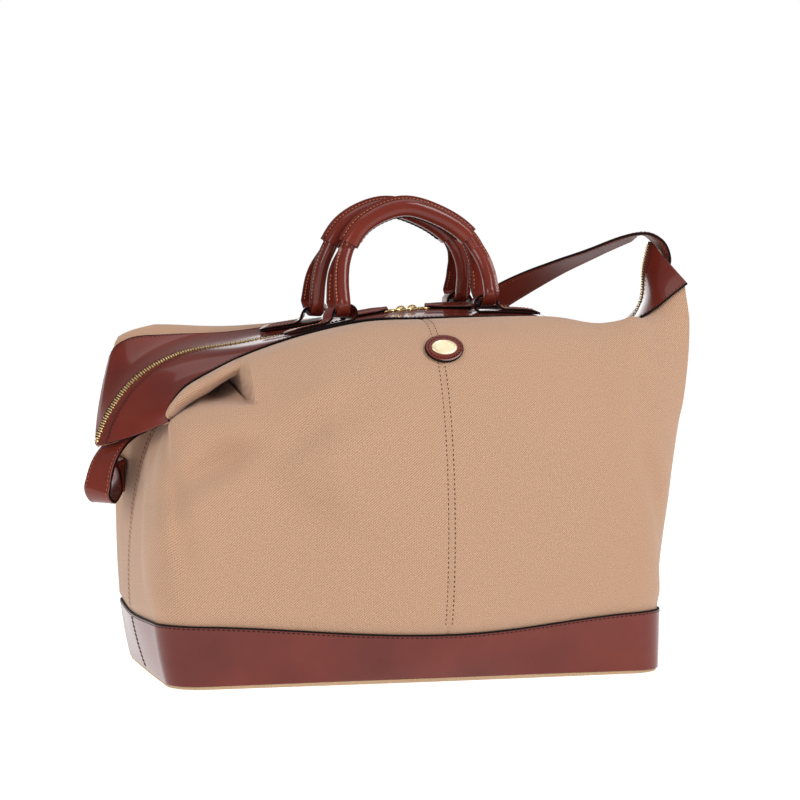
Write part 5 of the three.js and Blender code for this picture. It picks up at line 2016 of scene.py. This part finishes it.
@dataclass
class Badge:
    """Oval leather badge with a bare brass plate, beside the front seam."""

    form: BagForm
    share: float = 0.012
    rise: float = 0.765
    half_width: float = 19.0
    half_height: float = 16.0
    wall: float = 2.4
    tilt: float = -11.0
    bend: float = 150.0
    plate_width: float = 12.5
    plate_height: float = 8.5
    plate_wall: float = 1.2
    seat: float = 0.35

    def build(self) -> None:
        """Builds the oval, its stitch ring and the plate."""
        frame = self.form.canvas_frame(Side.FRONT_RIGHT, self.share, self.rise)
        tilt = math.radians(self.tilt)

        def place(x: float, y: float, z: float) -> Array:
            """Where a point of the flat badge goes.

            Args:
                x: Distance along it.
                y: Distance up it.
                z: Height above it.

            Returns:
                The point.
            """
            side = x * math.cos(tilt) - y * math.sin(tilt)
            up = x * math.sin(tilt) + y * math.cos(tilt)
            sag = up * up / (2 * self.bend)
            return frame.middle + frame.across * side + frame.forward * up + frame.normal * (z + self.seat - sag)

        oval = round_outline(72, self.half_width, self.half_height)
        w = self.wall
        leather = (
            (0, w), (0.4, w), (0.8, w), (0.95, w), (0.985, w - 0.25), (1, w - 0.7), (1, 0.4), (0.97, 0), (0, 0),
        )
        piece = Shop.turned("badge_oval", oval, leather, place, (LEATHER, EDGE), lambda i, j: int(i >= 3))
        Shop.hang(piece, Slot.LEATHER, "badge_leather")
        thread = Repeats("stitches_badge", DARK_THREAD, (2.5, 1.3, 0.8))
        inner = round_outline(72, self.half_width - 3.2, self.half_height - 3.2)
        points = np.array([place(x, y, w) for x, y in np.vstack([inner, inner[:1]])])
        thread.sew(points, np.repeat([frame.normal], len(points), axis=0), 3.4, 0.0)
        thread.build(Slot.LEATHER)
        small = round_outline(72, self.plate_width, self.plate_height)
        p = self.plate_wall
        low = w + 0.02
        brass = (
            (0, low + p), (0.45, low + 0.95 * p), (0.76, low + 0.8 * p), (0.8, low + 1.15 * p), (0.88, low + 1.25 * p),
            (0.94, low + 1.1 * p), (1, low + 0.5 * p), (1, low), (0, low),
        )
        Shop.hang(Shop.turned("badge_brass", small, brass, place, (PLATE,)), Slot.BRASS, "badge_plate")


@dataclass
class ShoulderStrap:
    """Both lengths of the shoulder strap and the buckle that joins them."""

    form: BagForm
    width: float = 32.0
    wall: float = 3.4
    lift: float = 0.8
    buckle_length: float = 30.0
    buckle_width: float = 44.0
    buckle_wire: float = 1.7
    stitch_inset: float = 3.2
    stitch_pitch: float = 4.2

    def _hump(self, side: Side, share: float, z: float, frame: Frame) -> float:
        """How far the canvas under the strap's width stands above a frame's plane.

        Args:
            side: The panel.
            share: Share of its width.
            z: Height of the strap's middle.
            frame: The plane.

        Returns:
            The height.
        """
        heights = []
        for beside in (-0.03, 0.0, 0.03):
            for up in (-1, -0.5, 0, 0.5, 1):
                at = min(max(share + beside, 0.0), 1.0)
                below = self.form.canvas_point(side, at, self.form.rise_at(side, at, z + up * self.width / 2))
                heights.append(float((below - frame.middle) @ frame.normal))
        return max(heights)

    def long_stations(self) -> tuple[list[Array], list[Array], Array]:
        """Points and directions across the long strap, and the normal at its start.

        Returns:
            The points, the directions and the normal.
        """
        points, normals = [], []
        for side, rows in ((Side.BACK_LEFT, STRAP_BACK_LEFT), (Side.BACK_RIGHT, STRAP_BACK_RIGHT)):
            for share, z in rows:
                frame = self.form.canvas_frame(side, max(share, 0.01), self.form.rise_at(side, share, z))
                lift = self.wall / 2 + self.lift + self._hump(side, share, z, frame)
                points.append(frame.middle + frame.normal * lift)
                normals.append(frame.normal)
        across = []
        for i, normal in enumerate(normals):
            tangent = unit(points[min(i + 1, len(points) - 1)] - points[max(i - 1, 0)])
            across.append(unit(np.cross(tangent, normal)))
        for row in STRAP_RIGHT:
            points.append(np.array(row[:3], float))
            across.append(unit(np.array(row[3:], float)))
        for z in STRAP_END_HEIGHTS:
            reach = max(
                self.form.canvas_point(side, share, self.form.rise_at(side, share, z))[0]
                for side in (Side.FRONT_RIGHT, Side.BACK_RIGHT)
                for share in STRAP_END_SHARES
            )
            points.append(np.array([reach + self.wall / 2 + self.lift, 0.0, z]))
            across.append(np.array([0.0, -1.0, 0.0]))
        return points, across, normals[0]

    def build(self) -> None:
        """Builds both lengths, their stitches and the buckle."""
        thread = Repeats("stitches_strap", STRAP_THREAD, (2.6, 0.9, 0.45))
        points, across, normal = self.long_stations()
        self._length("strap_leather_long", "strap_long", points, across, 420, thread)
        forward = unit(points[1] - points[0])
        short = [np.array(row[:3], float) for row in STRAP_SHORT]
        short_across = [unit(np.array(row[3:], float)) for row in STRAP_SHORT]
        for back, out in STRAP_JOIN:
            short.append(points[0] - forward * back + normal * out)
            short_across.append(-across[0])
        self._length("strap_leather_short", "strap_short", short, short_across, 200, thread)
        thread.build(Slot.LEATHER)
        self._buckle(points, across)

    def _length(self, name: str, node: str, points: Sequence[Array], across: Sequence[Array], steps: int,
                thread: Repeats) -> None:
        """One length of strap with painted edges and two rows of stitches on each face.

        Args:
            name: The piece's name.
            node: The CAD node.
            points: Points along it.
            across: Directions across it.
            steps: Stations to build.
            thread: Where its stitches go.
        """
        line, sides = Spline(points), Spline(across)
        section = round_outline(32, self.width / 2, self.wall / 2, (0.12, 0.4))
        frames = []
        for t in np.linspace(0.0, 1.0, steps):
            tangent = line.tangent(t)
            side = sides.at(t)
            side = unit(side - tangent * (side @ tangent))
            frames.append(Frame(line.at(t), tangent, side, unit(np.cross(tangent, side))))
        piece = Shop.swept(
            name, frames, [section] * steps, (LEATHER, EDGE, LINING),
            lambda i, j: 1 if j in (31, 0, 30, 1, 14, 15, 16, 17) else 2 if j < 14 else 0,
        )
        Shop.hang(piece, Slot.LEATHER, node)
        for face in (-1, 1):
            for edge in (-1, 1):
                across = edge * (self.width / 2 - self.stitch_inset)
                thread.follow(frames, [across] * steps, [face * self.wall / 2] * steps, self.stitch_pitch)

    def _buckle(self, points: Sequence[Array], across: Sequence[Array]) -> None:
        """Brass frame with rounded corners, and its prong.

        Args:
            points: Points of the long strap.
            across: Directions across it.
        """
        forward = unit(points[2] - points[0])
        side = -across[1]
        side = unit(side - forward * (side @ forward))
        seat = Frame(points[1], forward, side, unit(np.cross(forward, side)))
        seat = seat.moved(self.wall / 2 + self.lift + self.buckle_wire)
        round_section = round_outline(12, 1.0, 1.0)
        half_x, half_y = self.buckle_length / 2 - self.buckle_wire, self.buckle_width / 2 - self.buckle_wire
        frames = []
        for turn in full_turn(72):
            x, y = squared(math.cos(turn), 0.4) * half_x, squared(math.sin(turn), 0.4) * half_y
            out = unit(seat.forward * math.cos(turn) + seat.across * math.sin(turn))
            frames.append(Frame(seat.place(x, y, 0.0), seat.normal, out, seat.normal))
        piece = Shop.swept(
            "buckle_loop", frames, [round_section * self.buckle_wire] * len(frames), (BRASS,), loop=True
        )
        Shop.hang(piece, Slot.BRASS, "buckle_frame")
        prong_frames, sections = [], []
        for t in np.linspace(0.0, 1.0, 20):
            x = mix(-self.buckle_length / 2, self.buckle_length / 2, t)
            place = seat.place(x, 0.0, 3.3)
            prong_frames.append(Frame(place, seat.forward, seat.across, seat.normal))
            sections.append(round_section * mix(1.3, 0.9, smooth(t, 0.6, 1.0)))
        Shop.hang(Shop.swept("buckle_pin", prong_frames, sections, (BRASS,)), Slot.BRASS, "buckle_prong")


@dataclass
class Studio:
    """Floor, lights and camera of the photograph."""

    camera_place: Triple = (-0.7431, -2.9044, 0.430)
    camera_aim: Triple = (0.0095, 0.0, 0.256)
    focal_pixels: float = 3110.0
    picture_pixels: float = 800.0
    sensor: float = 36.0
    floor_half: float = 6.0
    light_aim: Triple = (0.0, 0.0, 0.2)
    front_light: float = 0.24
    back_light: float = 2.4
    backdrop: float = 1.0
    lights: tuple[tuple[str, Triple, Span, float], ...] = (
        ("key", (1.7, -1.9, 2.5), (1.5, 1.5), 58.0),
        ("top", (0.0, 0.4, 2.6), (2.4, 2.4), 16.0),
        ("left", (-2.3, -1.4, 1.2), (1.6, 1.6), 24.0),
        ("strip_left", (-1.8, -0.8, 0.9), (0.2, 1.2), 4.0),
        ("strip_right", (1.6, -1.6, 0.8), (0.2, 1.2), 6.0),
    )

    def build(self) -> None:
        """Sets the stage."""
        mesh = bmesh.new()
        bmesh.ops.create_grid(mesh, x_segments=1, y_segments=1, size=self.floor_half)
        floor = Shop.made("floor", mesh, (FLOOR,))
        for name, place, size, power in self.lights:
            lamp = bpy.data.lights.new(name, "AREA")
            lamp.shape = "RECTANGLE"
            lamp.size, lamp.size_y = size
            lamp.energy = power
            self._aimed(name, lamp, place, self.light_aim).visible_camera = False
        self._world()
        self._camera()
        bpy.context.scene.view_settings.view_transform = "Standard"

    def _world(self) -> None:
        """White backdrop with a softer surround."""
        world = bpy.data.worlds.new("studio")
        world.use_nodes = True
        nodes = Nodes(world.node_tree)
        shader = world.node_tree.nodes["Background"]
        rays = nodes.add("ShaderNodeLightPath")
        direction = nodes.add("ShaderNodeTexCoord")
        split = nodes.add("ShaderNodeSeparateXYZ", {0: direction.outputs["Generated"]})
        behind = nodes.add("ShaderNodeMapRange", {"Value": split.outputs["Y"], "From Min": 0.75, "From Max": 0.95})
        low = nodes.add("ShaderNodeMapRange", {"Value": split.outputs["Z"], "From Min": 0.4, "From Max": 0.1})
        spread = nodes.maths("MULTIPLY", behind.outputs[0], low.outputs[0])
        light = nodes.maths("MULTIPLY_ADD", spread, self.back_light - self.front_light, self.front_light)
        strength = nodes.add("ShaderNodeMix", {0: rays.outputs["Is Camera Ray"], 2: light, 3: self.backdrop})
        nodes.feed(shader, {"Strength": strength.outputs[0], "Color": WHITE})
        bpy.context.scene.world = world

    def _camera(self) -> None:
        """Camera of the photograph."""
        lens = bpy.data.cameras.new("camera")
        lens.sensor_width = self.sensor
        lens.lens = self.focal_pixels / self.picture_pixels * self.sensor
        lens.clip_end = 50.0
        bpy.context.scene.camera = self._aimed("camera", lens, self.camera_place, self.camera_aim)

    @staticmethod
    def _aimed(name: str, data: bpy.types.ID, place: Sequence[float], aim: Sequence[float]) -> Piece:
        """Puts a lamp or camera at a place and turns it to another.

        Args:
            name: The object's name.
            data: The lamp or camera.
            place: Where it stands.
            aim: What it looks at.

        Returns:
            The object.
        """
        holder = Shop.placed(name, data)
        holder.location = place
        holder.rotation_euler = (Vector(aim) - Vector(place)).to_track_quat("-Z", "Y").to_euler()
        return holder


def build_handles(form: BagForm) -> None:
    """Builds both handles and their stitches.

    Args:
        form: The surfaces of the bag.
    """
    light = Repeats("stitches_handles", LIGHT_THREAD, (2.5, 0.95, 0.55))
    dark = Repeats("stitches_grips", DARK_THREAD, (7.0, 2.0, 2.6))
    for half, shift_x, tube_y, flat_y, grip_y in (
        (Half.FRONT, 0.0, -43.0, -11.0, -14.0),
        (Half.BACK, -11.0, 19.0, 51.0, 14.0),
    ):
        Handle(form, half, shift_x, tube_y, flat_y, grip_y, light, dark).build()
    light.build(Slot.LEATHER)
    dark.build(Slot.LEATHER)


def main() -> None:
    """Builds the bag on its frame."""
    logging.basicConfig(level=logging.INFO, format="%(name)s %(message)s")
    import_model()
    form = BagForm()
    CanvasBody(form).build()
    BaseBand(form).build()
    LeatherTop(form).build()
    build_handles(form)
    Badge(form).build()
    ShoulderStrap(form).build()
    Studio().build()


if __name__ == "__main__":
    main()
